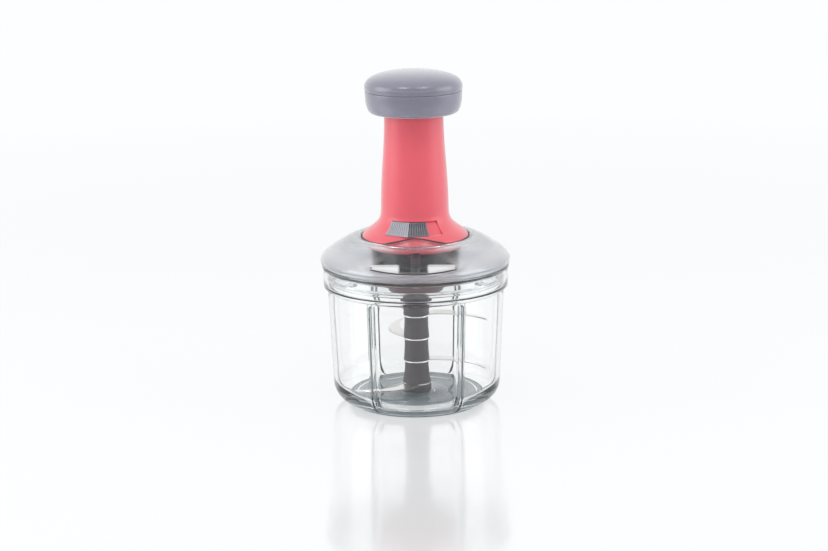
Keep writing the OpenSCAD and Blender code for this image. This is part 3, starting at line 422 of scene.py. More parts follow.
def dome_plastic():
    """Smoky satin plastic with painted shade low at the rim, and a polished lens-shaped window at the front
    with a painted shade line along its lower edge and painted highlight bands low at its left and right.
    """
    rough, polished = 0.17, 0.02
    painted_highlight_share, painted_shade_share = 0.65, 0.95
    rim_painted_shade, edge_painted_shade = rgb(0.74, 0.765, 0.80), rgb(0.04, 0.035, 0.04)
    material, t = tree("smoky_dome_plastic")
    place = object_place(t)
    height = add(t, "SeparateXYZ", {0: place}).outputs[2]
    window, low_edge, band = window_masks(t, place)
    satin = spread(t, noise(t, place, scale=220, detail=4), rough - 0.015, rough + 0.015)
    drift = spread(t, noise(t, place, scale=30, detail=3), 0, 1)
    colour = mix_colour(t, drift, rgb(0.93, 0.93, 0.945), rgb(0.90, 0.90, 0.92))
    # Painted shade: the dome's colour turns a darker grey-blue low at the rim.
    rim = spread(t, height, 0.8, 0, RIM_SHADE_FROM * MM, RIM_SHADE_TO * MM)
    # The window's lower edge takes a near-black colour as painted shade.
    colour = mix_colour(t, low_edge, mix_colour(t, rim, colour, rim_painted_shade), edge_painted_shade)
    satin_clear = spread(t, height, 0.82, 1.0, SATIN_FROM * MM, SATIN_TO * MM)
    # Transmission is cut where the painted highlight bands and the painted shade line lie, so their colours
    # show.
    painted_marks = math_node(t, "MAXIMUM", times(t, band, painted_highlight_share), times(t, low_edge, painted_shade_share))
    clear = math_node(t, "SUBTRACT", spread(t, window, satin_clear, 1.0, 0, 1), painted_marks, clamp=True)
    grain = noise(t, place, scale=1500, detail=2)
    glass = add(t, "BsdfPrincipled", {
        "Base Color": colour, "Roughness": spread(t, window, satin, polished, 0, 1),
        "IOR": 1.45, "Transmission Weight": clear,
        "Normal": bump(t, grain, strength=0.01, distance_mm=0.05)})
    finish_surface(t, see_through(t, glass.outputs[0], (0.95, 0.95, 0.96)))
    return material


def metal(name, colour, rough):
    """Ground or machined metal with fine brushed lines round the axis and a little colour drift."""
    material, t = tree(name)
    place = object_place(t)
    stretched = add(t, "Mapping", {"Vector": place, "Scale": (40.0, 40.0, 900.0)}).outputs[0]
    lines = noise(t, stretched, scale=1.0, detail=4, rough=0.6)
    drift = spread(t, noise(t, place, scale=70, detail=4), 0, 1)
    shader = add(t, "BsdfPrincipled", {
        "Base Color": drifting(t, drift, colour, 0.9), "Metallic": 1.0,
        "Roughness": spread(t, lines, rough - 0.07, rough + 0.07),
        "Normal": bump(t, lines, strength=0.12, distance_mm=0.05)})
    finish_surface(t, shader.outputs[0])
    return material


def soft_rubber(name, light, dark, rough):
    """Matt rubber with a fine grain and light dust."""
    material, t = tree(name)
    place = object_place(t)
    dust = spread(t, noise(t, place, scale=500, detail=5, rough=0.65), 0, 1, 0.45, 0.75)
    matt = spread(t, noise(t, place, scale=240, detail=4), rough - 0.08, rough + 0.08)
    grain = noise(t, place, scale=3200, detail=3)
    shader = add(t, "BsdfPrincipled", {
        "Base Color": mix_colour(t, dust, rgb(*dark), rgb(*light)), "Roughness": matt,
        "Specular IOR Level": 0.3, "Normal": bump(t, grain, strength=0.12, distance_mm=0.15)})
    finish_surface(t, shader.outputs[0])
    return material


clear_bowl = clear_plastic("clear_bowl_plastic", colour=(0.985, 0.99, 0.99), rough=0.0,
                           tint=(0.975, 0.985, 0.985), absorb=(0.72, 0.82, 0.81), density=8)
# Near-black clear plastic: painted shade for the dark outlines along the flutes' steep sides.
flute_painted_shade = clear_plastic("painted_shade_on_flutes", colour=(0.05, 0.065, 0.07), rough=0.0,
                            tint=(0.8, 0.82, 0.82))
clear_plate = clear_plastic("clear_plate_plastic", colour=(0.90, 0.925, 0.935), rough=0.03,
                            tint=(0.97, 0.975, 0.98), absorb=(0.72, 0.8, 0.81), density=12)
seal_silicone = clear_plastic("seal_silicone", colour=(0.93, 0.94, 0.94), rough=0.12,
                              tint=(0.95, 0.95, 0.95), ior=1.41)
smoky_dome = dome_plastic()
red_plastic = moulded("red_column_plastic", light=(0.82, 0.11, 0.145), dark=(0.79, 0.104, 0.138),
                      rough=0.33, sheen=0.8, specular=0.6)
knob_plastic = moulded("lavender_grey_plastic", light=(0.215, 0.212, 0.278), dark=(0.205, 0.202, 0.266),
                       rough=0.25, sheen=0.8, specular=0.8)
hub_plastic = moulded("hub_plastic", light=(0.052, 0.043, 0.050), dark=(0.043, 0.036, 0.042),
                      rough=0.42, specular=0.4)
boss_plastic = moulded("maroon_boss_plastic", light=(0.085, 0.014, 0.024), dark=(0.07, 0.012, 0.02),
                       rough=0.4, specular=0.3)
# The gear case's own dark colour, also painted on the red column's screw posts as painted shade.
case_plastic = moulded("dark_case_plastic_and_painted_shade", light=(0.045, 0.05, 0.055), dark=(0.035, 0.04, 0.045),
                       rough=0.4)
slider_plastic = moulded("slider_plastic", light=(0.44, 0.45, 0.50), dark=(0.37, 0.38, 0.42),
                         rough=0.28, specular=0.7)
# Darker copy of the slider's colour: painted shade for the slider's right face.
slider_painted_shade = moulded("painted_shade_slider_plastic", light=(0.17, 0.17, 0.20), dark=(0.14, 0.14, 0.165),
                      rough=0.3, specular=0.6)
white_nylon = moulded("white_nylon", light=(0.80, 0.80, 0.77), dark=(0.74, 0.74, 0.71), rough=0.4)
pad_rubber = soft_rubber("grey_pad_rubber", light=(0.19, 0.222, 0.245), dark=(0.155, 0.187, 0.208),
                         rough=0.55)
gasket_rubber = soft_rubber("dark_gasket_rubber", light=(0.06, 0.055, 0.06), dark=(0.04, 0.038, 0.042),
                            rough=0.5)
blade_steel = metal("blade_steel", colour=(0.90, 0.885, 0.85), rough=0.22)
plain_steel = metal("plain_steel", colour=(0.62, 0.62, 0.63), rough=0.3)
bush_brass = metal("bush_brass", colour=(0.72, 0.53, 0.25), rough=0.28)

SLOT_MATERIALS = {
    "clear_bowl": clear_bowl, "smoky_dome": smoky_dome, "clear_plate": clear_plate,
    "red_plastic": red_plastic, "knob_plastic": knob_plastic, "slider_plastic": slider_plastic,
    "hub_plastic": hub_plastic, "boss_plastic": boss_plastic, "case_plastic": case_plastic,
    "white_nylon": white_nylon, "soft_rubber": gasket_rubber, "seal_silicone": seal_silicone,
    "blade_steel": blade_steel, "plain_steel": plain_steel, "bush_brass": bush_brass,
}


# ---------- CAD nodes that stay ----------
def dress_cad_nodes():
    for part in frame["record"]["subparts"]:
        node = frame["nodes"][part["node"]]
        node.data.materials.clear()
        node.data.materials.append(SLOT_MATERIALS[part["material_slot"]])


# ---------- bowl ----------
def bowl_section():
    """Half section of the bowl, from the axis out under the foot, up the outside and down the inside,
    and which of its points lie on the outer and on the inner wall."""
    recess = PAD_R + PAD_GAP
    section = [(0, PAD_T), (recess - 0.6, PAD_T), (recess, PAD_T - 0.5), (recess, FOOT_Z + 0.3),
               (recess + 0.4, FOOT_Z)]
    cap, shoulder = (BODY_TOP_R - 0.1, FLUTE_TOP_Z - 1), (BODY_TOP_R, SHOULDER_Z - 1.6)
    corner = arc(CORNER_X, CORNER_Z, CORNER_R, -76, 0, 16)
    wall = corner + line(corner[-1], cap, 26)[1:] + line(cap, shoulder, 12)
    outside = range(len(section), len(section + wall))
    section += wall
    section += curve(shoulder, (BODY_TOP_R, SHOULDER_Z - 0.6), (RIM_R, SHOULDER_Z - 0.8),
                     (RIM_R, SHOULDER_Z + 0.8), 7)
    band_z, band_top_z = SHOULDER_Z + 5.5, BOWL_H - 6
    section += [(RIM_R, band_z), (RIM_R, BOWL_H - 3.4)]
    section += curve((RIM_R, BOWL_H - 3.1), (RIM_R, BOWL_H - 2.7), (LIP_R, BOWL_H - 3),
                     (LIP_R, BOWL_H - 2.4), 4)
    section += arc(LIP_R - 0.7, BOWL_H - 0.7, 0.7, 0, 90, 5)
    rim_in, body_in, corner_in = RIM_R - WALL, BODY_TOP_R - WALL, CORNER_R - WALL
    section += arc(rim_in + 0.5, BOWL_H - 0.5, 0.5, 90, 180, 4)
    section += [(rim_in, band_top_z), (rim_in, band_z)]
    section += curve((rim_in, SHOULDER_Z + WALL + 0.8), (rim_in, SHOULDER_Z + 1.2),
                     (body_in, SHOULDER_Z + WALL + 0.4), (body_in, SHOULDER_Z + WALL - 2), 6)
    corner = arc(CORNER_X, FLOOR_Z + corner_in, corner_in, 0, -90, 16)
    wall = line((body_in, SHOULDER_Z + WALL - 2.6), corner[0], 26) + corner
    inside = range(len(section), len(section + wall))
    section += wall
    floor_r, seat_z = 30, FLOOR_Z + PIN_SEAT_H
    section += [(floor_r, FLOOR_Z), (PIN_SEAT_R + 0.7, FLOOR_Z), (PIN_SEAT_R + 0.1, FLOOR_Z + 0.5),
                (PIN_SEAT_R, seat_z - 0.2), (PIN_SEAT_R - 0.3, seat_z), (0, seat_z)]
    return section, outside, inside


def flute_turns(centres):
    """Directions of the bowl's columns of points, close together across each flute."""
    fine = [k * 0.16 for k in range(-30, 31)]
    wide = [5.5, 6.5, 8] + [10 + 2.5 * k for k in range(8)]
    offsets = fine + wide + [-o for o in wide] + [180 / FLUTES]
    return sorted({round((c + o) % 360, 4) for c in centres for o in offsets})


def on_flute_side(polygon):
    """Whether a face of the bowl lies on the steep side of a flute, where the painted shade goes."""
    x, y, z = polygon.center
    out_r, height = math.hypot(x, y) / MM, z / MM
    off = abs((math.degrees(math.atan2(y, x)) - FRONT) % (360 / FLUTES) - 180 / FLUTES)
    across = out_r * math.sin(math.radians(off))
    reach = math.hypot(across, max(0, height - FLUTE_TOP_Z))
    outer = BODY_LOW_R - 1.5 < out_r < BODY_TOP_R + 0.2
    return outer and FLUTE_LOW_Z < height < FLUTE_TOP_Z + 3 and FLUTE_SIDE_FROM < reach < FLUTE_SIDE_TO


def bowl():
    """The clear bowl, with flutes sunk into its outer wall and ridges behind them inside, and painted shade
    on the flutes' steep sides.
    """
    section, outside, inside = bowl_section()
    centres = [FRONT + (k + 0.5) * 360 / FLUTES for k in range(FLUTES)]

    def sink(a, i, r, z):
        if i in outside:
            bar, hidden, top, soft = FLUTE_R, FLUTE_OUT, FLUTE_TOP_Z, FLUTE_SOFT
        elif i in inside:
            bar, hidden, top, soft = RIDGE_R, FLUTE_OUT + WALL + RIDGE_SUNK, FLUTE_TOP_Z + 1, RIDGE_SOFT
        else:
            return r, z
        off = min((turn_from(c, a) for c in centres), key=abs)
        across = r * math.sin(math.radians(off))
        turn = math.degrees(math.atan2(CORNER_Z - z, r - CORNER_X)) if z < CORNER_Z else 0
        past = max(0, z - top, (turn - FLUTE_END_TURN) * FLUTE_END_SLOPE)
        reach = math.hypot(across, past)
        depth = above(math.sqrt(max(0, bar * bar - reach * reach)) - hidden, soft)
        lean = math.radians(turn)
        return r - depth * math.cos(lean), z + depth * math.sin(lean)

    verts, faces = turned(section, flute_turns(centres), sink, closed=False)
    piece = add_piece("bowl_shell", verts, faces, "bowl_body", clear_bowl, ["bowl"], 50)
    # The steep sides of the flutes take the near-black plastic as painted shade.
    paint(piece, flute_painted_shade, on_flute_side)


def pad():
    """Anti-slip pad: moulded rings show on its upper face through the bowl's clear floor."""
    top = PAD_T + PAD_TOUCH
    outline = [(0, top)]
    for r in PAD_GROOVES:
        outline += [(r - 0.5, top), (r - 0.2, top - 0.35), (r + 0.2, top - 0.35), (r + 0.5, top)]
    outline += [(PAD_R - 1.6, top), (PAD_R - 0.2, top - 0.6), (PAD_R, top - 1), (PAD_R, 0.6),
                (PAD_R - 0.2, 0.15), (PAD_R - 0.6, 0.0)]
    for r in PAD_TREADS:
        outline += [(r + 0.7, 0), (r + 0.4, 0.5), (r - 0.4, 0.5), (r - 0.7, 0)]
    outline += [(20, 0), (0, 0)]
    verts, faces = turned(outline, even_turns(160), closed=False)
    add_piece("foot_pad", verts, faces, "bowl_body", pad_rubber, ["anti_slip_pad"], 60)


# ---------- blade unit ----------
def hub_length(name, corners, node):
    """A length of the hub, turned from its corners (radius, height, rounding)."""
    verts, faces = turned(rounded(corners), even_turns(72))
    add_piece(name, verts, faces, "blade_unit", hub_plastic, [node], 40)


def hub_sleeve(name, side, node):
    """A length of the hub with a plain bore."""
    hub_length(name, side + [(HUB_BORE, side[-1][1], 0.1), (HUB_BORE, side[0][1], 0.1)], node)


def hub():
    """The hub's foot, its waisted lengths between the blades, and its top with two collars."""
    foot = [(HUB_R + 0.6, HUB_Z, 0.3), (HUB_R + 1.3, HUB_Z + 0.6, 0.4), (HUB_R + 1.2, HUB_Z + 2.4, 0.4),
            (HUB_R + FOOT_FLARE, BLADE_Z[0], 0.15)]
    hub_sleeve("hub_foot_piece", foot, "hub_foot")
    steps = 10
    for k in range(3):
        z, top = BLADE_Z[k] + BLADE_T, BLADE_Z[k + 1]
        widen = WAIST + FOOT_FLARE if k == 0 else WAIST
        side = [(HUB_R - WAIST + widen * (1 - i / steps) ** 2, z + (top - z) * i / steps,
                 0.15 if i in (0, steps) else 0) for i in range(steps + 1)]
        hub_sleeve(f"hub_length_{k + 1}", side, f"hub_spacer_{k + 1}")
    z, low, high = BLADE_Z[3] + BLADE_T, LOW_COLLAR_Z, TOP_COLLAR_Z
    crown = [(HUB_R, z, 0.15), (HUB_R - 0.3, z + 2, 1), (LOW_COLLAR_R - 1, low - 0.8, 0.4),
             (LOW_COLLAR_R, low, 0.4), (LOW_COLLAR_R, low + COLLAR_T, 0.4), (HUB_R + 0.4, low + 3, 0.8),
             (HUB_R, low + 4, 1), (HUB_R, high - 1.5, 0.5), (TOP_COLLAR_R, high, 0.3),
             (TOP_COLLAR_R, high + COLLAR_T, 0.3), (HUB_R + 0.4, high + 2.6, 0.3),
             (HUB_R - 0.2, HUB_TOP_Z, 0.5), (SOCKET_R, HUB_TOP_Z, 0.3),
             (SOCKET_R, HUB_TOP_Z - SOCKET_DEPTH, 0), (HUB_BORE, HUB_TOP_Z - BORE_DEPTH, 0),
             (HUB_BORE, z, 0)]
    hub_length("hub_crown", crown, "hub_top")


def blade_leaf(k):
    """Vertices and faces of a swept sickle with a ground bevel along each edge, thinner to the tip."""
    z0, tip, reach = BLADE_Z[k], BLADE_TIPS[k], BLADE_REACH[k]
    start, steps, rows = HUB_R - 2, 30, (-1, -BEVEL_FROM, 0, BEVEL_FROM, 1)
    verts, faces = [], []
    for i in range(steps + 1):
        s = i / steps
        r = start + (reach - start) * s
        half = max(0.02, BLADE_W / 2 * (1 - s ** 4) * (1 - 0.25 * s))
        for flat, ground in ((0, EDGE_LOW), (BLADE_T, EDGE_HIGH)):
            for row in rows:
                a = tip + BLADE_SWEEP * (1 - s) + math.degrees(row * half / r)
                verts.append((*polar(r, a), z0 + (ground if abs(row) == 1 else flat)))
    n = len(rows)
    for i in range(steps):
        a, b = i * 2 * n, (i + 1) * 2 * n
        for j in range(n - 1):
            faces.append((a + j + 1, a + j, b + j, b + j + 1))
            faces.append((a + n + j, a + n + j + 1, b + n + j + 1, b + n + j))
        faces.append((a, a + n, b + n, b))
        faces.append((a + 2 * n - 1, a + n - 1, b + n - 1, b + 2 * n - 1))
    end = steps * 2 * n
    faces += [(j, j + 1, n + j + 1, n + j) for j in range(n - 1)]
    faces += [(end + n + j, end + n + j + 1, end + j + 1, end + j) for j in range(n - 1)]
    return verts, faces


def blade(k):
    """A sickle blade with the ring that the hub's lengths grip."""
    z0, bore = BLADE_Z[k], HUB_BORE + 0.1
    ring_r = HUB_R + (FOOT_FLARE if k == 0 else 0.3)
    ring = rounded([(bore, z0, 0.1), (ring_r, z0, 0.2), (ring_r, z0 + BLADE_T, 0.2),
                    (bore, z0 + BLADE_T, 0.1)])
    verts, faces = joined(blade_leaf(k), turned(ring, even_turns(72)))
    add_piece(f"sickle_blade_{k + 1}", verts, faces, "blade_unit", blade_steel,
              [f"blade_{k + 1}"], 12)


# ---------- lid ----------
def dome_faces():
    """The dome's outer and inner curves, from the rim up over the red base's foot."""
    top = RIM_Z + 2.2
    in_r, in_cone = LID_R - DOME_T, (CONE_R - 0.8, CONE_Z - DOME_T)
    lobe = [BASE_Z + 0.4 + 0.6 * k for k in range(9)]
    outer = [(LID_R - 0.6, RIM_Z), (LID_R - 0.15, RIM_Z + 0.15), (LID_R, RIM_Z + 0.6), (LID_R, RIM_Z + 1.4)]
    outer += curve((LID_R, top), (LID_R - 0.4, top + 4.4), (LID_R - 9.5, top + 9.4), (CONE_R, CONE_Z), 24)
    outer += curve((CONE_R, CONE_Z), (CONE_R - 3, BASE_Z + 0.8), (BASE_R + 3.6, BASE_Z + 1),
                   (BASE_R + 1.4, BASE_Z + 0.3), 10)[1:]
    outer += [(column_r(z) + 0.5, z) for z in lobe]
    inner = [(in_r, RIM_Z), (in_r, RIM_Z + 1.4)]
    inner += curve((in_r, top), (in_r - 0.4, top + 3), (LID_R - 10.6, top + 7.4), in_cone, 24)
    inner += curve(in_cone, (CONE_R - 3.8, BASE_Z + 0.6 - DOME_T), (BASE_R + 3, BASE_Z + 0.8 - DOME_T),
                   (BASE_R + 0.6, BASE_Z + 0.2 - DOME_T), 10)[1:]
    inner += [(column_r(z) - 0.2, z - DOME_T + 0.6) for z in lobe]
    return outer, inner


def dome_edge_r(a):
    """Radius at which the dome meets the gasket, in direction a."""
    return base_edge_r(a) + 1.0


def cut_at(points, radius):
    """The curve's points down to a radius, ending exactly on it."""
    kept = []
    for i, p in enumerate(points):
        if i > 3 and p[0] <= radius:
            q = points[i - 1]
            t = (q[0] - radius) / (q[0] - p[0])
            return kept + [(radius, q[1] + (p[1] - q[1]) * t)]
        kept.append(p)
    return kept


def along(points, count):
    """The same curve with count points, evenly spread."""
    lengths = [0]
    for p, q in zip(points, points[1:]):
        lengths.append(lengths[-1] + math.dist(p, q))
    spaced, i = [], 0
    for k in range(count):
        want = lengths[-1] * k / (count - 1)
        while i < len(points) - 2 and lengths[i + 1] < want:
            i += 1
        t = (want - lengths[i]) / max(1e-9, lengths[i + 1] - lengths[i])
        p, q = points[i], points[i + 1]
        spaced.append((p[0] + (q[0] - p[0]) * t, p[1] + (q[1] - p[1]) * t))
    return spaced


def window_depth(x, z):
    """How far inside the outline of the polished window a point of the dome's front lies, 0 to 1."""
    x -= WINDOW_X
    top = WINDOW_TOP - WINDOW_TOP_BEND * x ** 2 - WINDOW_TIP_BEND * x ** 4
    low = WINDOW_LOW + WINDOW_LOW_BEND * x ** 2
    return min(1, max(0, min((top - z) / 4, (z - low) / 0.6)))


def sink_window(r, z, off):
    """A point of the dome's outer face, set back where it lies in the window."""
    depth = window_depth(r * math.sin(math.radians(off)), z)
    return r - WINDOW_SINK_R * depth, z - WINDOW_SINK_Z * depth


def dome():
    """The smoky dome, with a low lip round the red base and finer faces across its window."""
    outer, inner = dome_faces()
    fine = [FRONT - DOME_FRONT + 0.5 * k for k in range(4 * DOME_FRONT + 1)]
    turns = sorted({round(a % 360, 3) for a in fine}
                   | {a for a in even_turns(180) if abs(turn_from(FRONT, a)) > DOME_FRONT})
    at = {}
    for a in turns:
        edge, off = dome_edge_r(a), turn_from(FRONT, a)
        face = [(r, z + DOME_LIP_H * math.sin(math.pi * min(1, (r - edge) / DOME_LIP_W)))
                for r, z in along(cut_at(outer, edge), DOME_ROWS)]
        if abs(off) < DOME_FRONT:
            face = [sink_window(r, z, off) for r, z in face]
        at[a] = face + along(cut_at(inner, edge), DOME_ROWS)[::-1]
    verts, faces = turned(at[turns[0]], turns, lambda a, i, r, z: at[a][i])
    add_piece("dome_shell", verts, faces, "lid", smoky_dome, ["lid_dome"], 50)


def lid_plate():
    """The clear plate that closes the dome, with a skirt that holds the seal in the bowl's mouth."""
    skirt_in, groove = SKIRT_R - SKIRT_T, SKIRT_R - SEAL_IN
    top, centre_z, flange_z = PLATE_Z + PLATE_T, PLATE_Z + CENTRE_T, RIM_Z + FLANGE_T
    corners = [
        (PLATE_BORE, PLATE_Z, 0.2), (skirt_in, PLATE_Z, 1), (skirt_in, SKIRT_LOW_Z, 0.4),
        (SKIRT_R, SKIRT_LOW_Z, 0.4), (SKIRT_R, SEAL_Z, 0.2), (groove, SEAL_Z, 0.1),
        (groove, SEAL_Z + SEAL_H, 0.1), (SKIRT_R, SEAL_Z + SEAL_H, 0.2), (SKIRT_R, RIM_Z, 0.3),
        (FLANGE_R, RIM_Z, 0.3), (FLANGE_R, flange_z, 0.3), (skirt_in, flange_z, 0.5), (skirt_in, top, 0.8),
        (RING_R + 1, top, 0.3), (RING_R + 0.6, top + RING_H, 0.4), (RING_R - 0.6, top + RING_H, 0.4),
        (RING_R - 1, top, 0.3), (CENTRE_R, top, 0.3), (CENTRE_R - 0.3, centre_z, 0.5),
        (PLATE_BORE, centre_z, 0.2)]
    verts, faces = turned(rounded(corners), even_turns(192))
    add_piece("lid_plate", verts, faces, "lid", clear_plate, ["lid_floor"], 40)


def drive_cup():
    """The dish-shaped boss under the lid plate, round the hub's top."""
    mouth, cup, flange, low, flange_z = CUP_MOUTH_R, CUP_R, CUP_FLANGE_R, CUP_Z, PLATE_Z - CUP_FLANGE_T
    outline = [(mouth, low + 0.3), (mouth + 0.3, low), (mouth + 1.6, low)]
    outline += curve((mouth + 1.6, low), (cup - 4, low + 3), (cup, low + 6), (cup, low + 9), 12)[1:]
    outline += [(cup, flange_z - 0.2), (cup + 0.2, flange_z), (flange - 0.2, flange_z),
                (flange, flange_z + 0.2), (flange, PLATE_Z), (cup - 2, PLATE_Z)]
    outline += curve((cup - 2, low + 9), (cup - 3, low + 6), (cup - 7, low + 4), (mouth, low + 2), 10)
    verts, faces = turned(outline, even_turns(128))
    add_piece("drive_cup", verts, faces, "lid", boss_plastic, ["drive_boss"], 40)


def gasket():
    """Thin dark line of rubber between the dome and the red base."""
    turns = even_turns(240)
    outer, _ = dome_faces()
    at = {}
    for a in turns:
        edge = base_edge_r(a)
        z = cut_at(outer, dome_edge_r(a))[-1][1]
        at[a] = [(edge + 0.05, z - 0.9), (edge + 0.9, z - 0.7), (edge + 0.98, z - 0.2),
                 (edge + 0.9, z + 0.15), (edge + 0.55, z + 0.45), (edge + 0.2, z + 0.35),
                 (edge + 0.05, z + 0.1)]
    verts, faces = turned(at[turns[0]], turns, lambda a, i, r, z: at[a][i])
    add_piece("base_ring", verts, faces, "lid", gasket_rubber, ["base_gasket"], 60)


# ---------- column ----------
def column_section():
    """Half section of the red casting: over its top, down the outside, under the base and up the bore.
    Also gives the places of the first outside point and of the first point under it."""
    slot_top, shaft_top, even = SLOT_Z + SLOT_H, COLUMN_TOP_Z - 1.2, 22
    heights = [shaft_top - (shaft_top - slot_top - 7.7) * k / even for k in range(even + 1)]
    heights += [slot_top + d for d in (6.2, 4.9, 3.7, 2.7, 1.9, 1.2, 0.6, SLOT_BEND, -SLOT_BEND)]
    heights += [SLOT_Z + d for d in (7.5, 6, 4.5, 3, 1.5, SLOT_BEND, -SLOT_BEND)]
    heights += [SLOT_Z - 0.5 * k for k in range(1, 12)] + [BASE_Z]
    section = [(COLUMN_BORE, COLUMN_TOP_Z - 0.7), (COLUMN_BORE + 0.5, COLUMN_TOP_Z - 0.1),
               (COLUMN_BORE + 1.1, COLUMN_TOP_Z), (COLUMN_TOP_R - 0.7, COLUMN_TOP_Z - 0.1),
               (COLUMN_TOP_R - 0.2, COLUMN_TOP_Z - 0.5)]
    first = len(section)
    section += [(column_r(z), z) for z in heights]
    last = len(section)
    flange, bush_top = BASE_Z - BASE_T, BUSH_SEAT_Z + BUSH_SEAT_T
    section += [(BASE_R, BASE_Z - 0.5), (BASE_R, flange + 0.3), (BASE_R - 0.3, flange),
                (BASE_R - 1.5, flange), (FUNNEL_R, FUNNEL_Z + 0.2), (FUNNEL_R - 0.5, FUNNEL_Z),
                (FUNNEL_BORE + 0.2, FUNNEL_Z), (FUNNEL_BORE, FUNNEL_Z + 0.2),
                (FUNNEL_BORE, RING_SEAT_Z), (RING_BORE, RING_SEAT_Z), (RING_BORE, BUSH_SEAT_Z),
                (BUSH_BORE, BUSH_SEAT_Z), (BUSH_BORE, bush_top), (COLUMN_BORE, bush_top)]
    return section, first, last


def screw_posts():
    """The posts under the base that take the housing's screws."""
    corners = [(POST_BORE, POST_Z, 0.1), (POST_R, POST_Z, 0.3), (POST_R, POST_TOP_Z, 0.1),
               (POST_BORE, POST_TOP_Z, 0.1)]
    post = turned(rounded(corners), even_turns(32))
    return [moved(post, *polar(POST_PLACE_R, a)) for a in even_turns(POSTS)]


def housing():
    """Red column with its flared base, the sunk slot at the front and the funnel under the base."""
    section, first, last = column_section()
    slot_top = SLOT_Z + SLOT_H
    slot_edge = (-2.4, -1.6, -0.9, -0.4, -SLOT_BEND, SLOT_BEND)
    turns = sorted({round(a % 360, 4) for a in even_turns(180)}
                   | {round((SLOT_FROM + d) % 360, 4) for d in slot_edge}
                   | {round((SLOT_TO - d) % 360, 4) for d in slot_edge})

    def shape(a, i, r, z):
        edge = base_edge_r(a)
        if i >= last and r > 30:
            return r - BASE_R + max(edge, column_r(BASE_Z + UNDER_WAVE)), z
        if not first <= i < last:
            return r, z
        r = min(r, max(edge, column_r(z + UNDER_WAVE)))
        past_from, past_to = turn_from(SLOT_FROM, a), turn_from(SLOT_TO, a)
        if past_from > 0 and past_to < 0 and SLOT_Z < z < slot_top:
            low, high = column_r(SLOT_Z) - 2.1, column_r(slot_top) - 1.5
            return low + (high - low) * (z - SLOT_Z) / SLOT_H, z
        beside = max(-past_from, past_to, 0) * math.radians(1) * r
        away = math.hypot(beside, max(SLOT_Z - z, z - slot_top, 0))
        if abs(turn_from(FRONT, a)) < 60 and away < SLOT_SWELL_W and z > SLOT_Z - 0.2:
            r += SLOT_SWELL * (1 - away / SLOT_SWELL_W)
        return r, z

    body = turned(section, turns, shape)
    verts, faces = joined(body, *screw_posts())
    piece = add_piece("red_column", verts, faces, "lid", red_plastic, ["column_housing"], 32)
    post_from = len(body[0])
    # The screw posts, and any face lower than the funnel's foot, take the dark case colour as painted
    # shade; the casting itself is red.
    paint(piece, case_plastic,
          lambda polygon: polygon.center.z < FUNNEL_Z * MM or max(polygon.vertices) >= post_from)


def chord_r(a, a1, r1, a2, r2):
    """Radius, at direction a, of the straight line between two points given by direction and radius."""
    a, a1, a2 = (math.radians(v) for v in (a, a1, a2))
    return r1 * r2 * math.sin(a2 - a1) / (r1 * math.sin(a - a1) + r2 * math.sin(a2 - a))


def slider_face_r(a, z):
    """Radius of the slider's two flat faces, which meet in a ridge."""
    end, ridge = column_r(z) + SLIDER_OUT, column_r(z) + SLIDER_RIDGE_OUT
    if a < SLIDER_RIDGE:
        return chord_r(a, SLIDER_FROM, end, SLIDER_RIDGE, ridge)
    return chord_r(a, SLIDER_RIDGE, ridge, SLIDER_TO, end)


def right_of_ridge(polygon):
    """Whether a face of the slider lies on its right half, which is painted darker as painted shade."""
    x, y, _ = polygon.center
    return math.degrees(math.atan2(y, x)) > SLIDER_RIDGE + 1


def slider():
    """Ribbed lock slider: two slanting faces that meet in a ridge, with upright ribs. Its right face is
    painted darker as painted shade.
    """
    columns = RIBS * RIB_STEPS
    low, high = SLOT_Z + SLIDER_GAP, SLOT_Z + SLOT_H - SLIDER_GAP
    rows = (0, 0.03, 0.09, 0.3, 0.5, 0.7, 0.91, 0.97, 1)
    verts, faces = [], []
    for j in range(columns + 1):
        a = SLIDER_FROM + (SLIDER_TO - SLIDER_FROM) * j / columns
        edge = min(1, min(j, columns - j) / (RIB_STEPS * 0.6))
        groove = RIB_DEPTH * max(0, math.cos(2 * math.pi * j / RIB_STEPS)) ** 0.7 * edge
        for t in rows:
            z = low + (high - low) * t
            ends = 0.35 * (1 - min(1, min(t, 1 - t) / 0.09)) ** 2
            cut = groove if 0.05 < t < 0.95 else groove * 0.3
            verts.append((*polar(slider_face_r(a, z) - cut - ends - 0.25 * (1 - edge) ** 2, a), z))
        verts.append((*polar(column_r(high) - 1.15, a), high))
        verts.append((*polar(column_r(low) - 1.4, a), low))
    n = len(rows) + 2
    for j in range(columns):
        for k in range(n):
            h = (k + 1) % n
            faces.append((j * n + k, (j + 1) * n + k, (j + 1) * n + h, j * n + h))
    faces.append(tuple(range(n - 1, -1, -1)))
    faces.append(tuple(columns * n + k for k in range(n)))
    piece = add_piece("lock_slide_button", verts, faces, "lock", slider_plastic,
                      ["lock_slider"], 30)
    # The right face takes the darker copy as painted shade.
    paint(piece, slider_painted_shade, right_of_ridge)


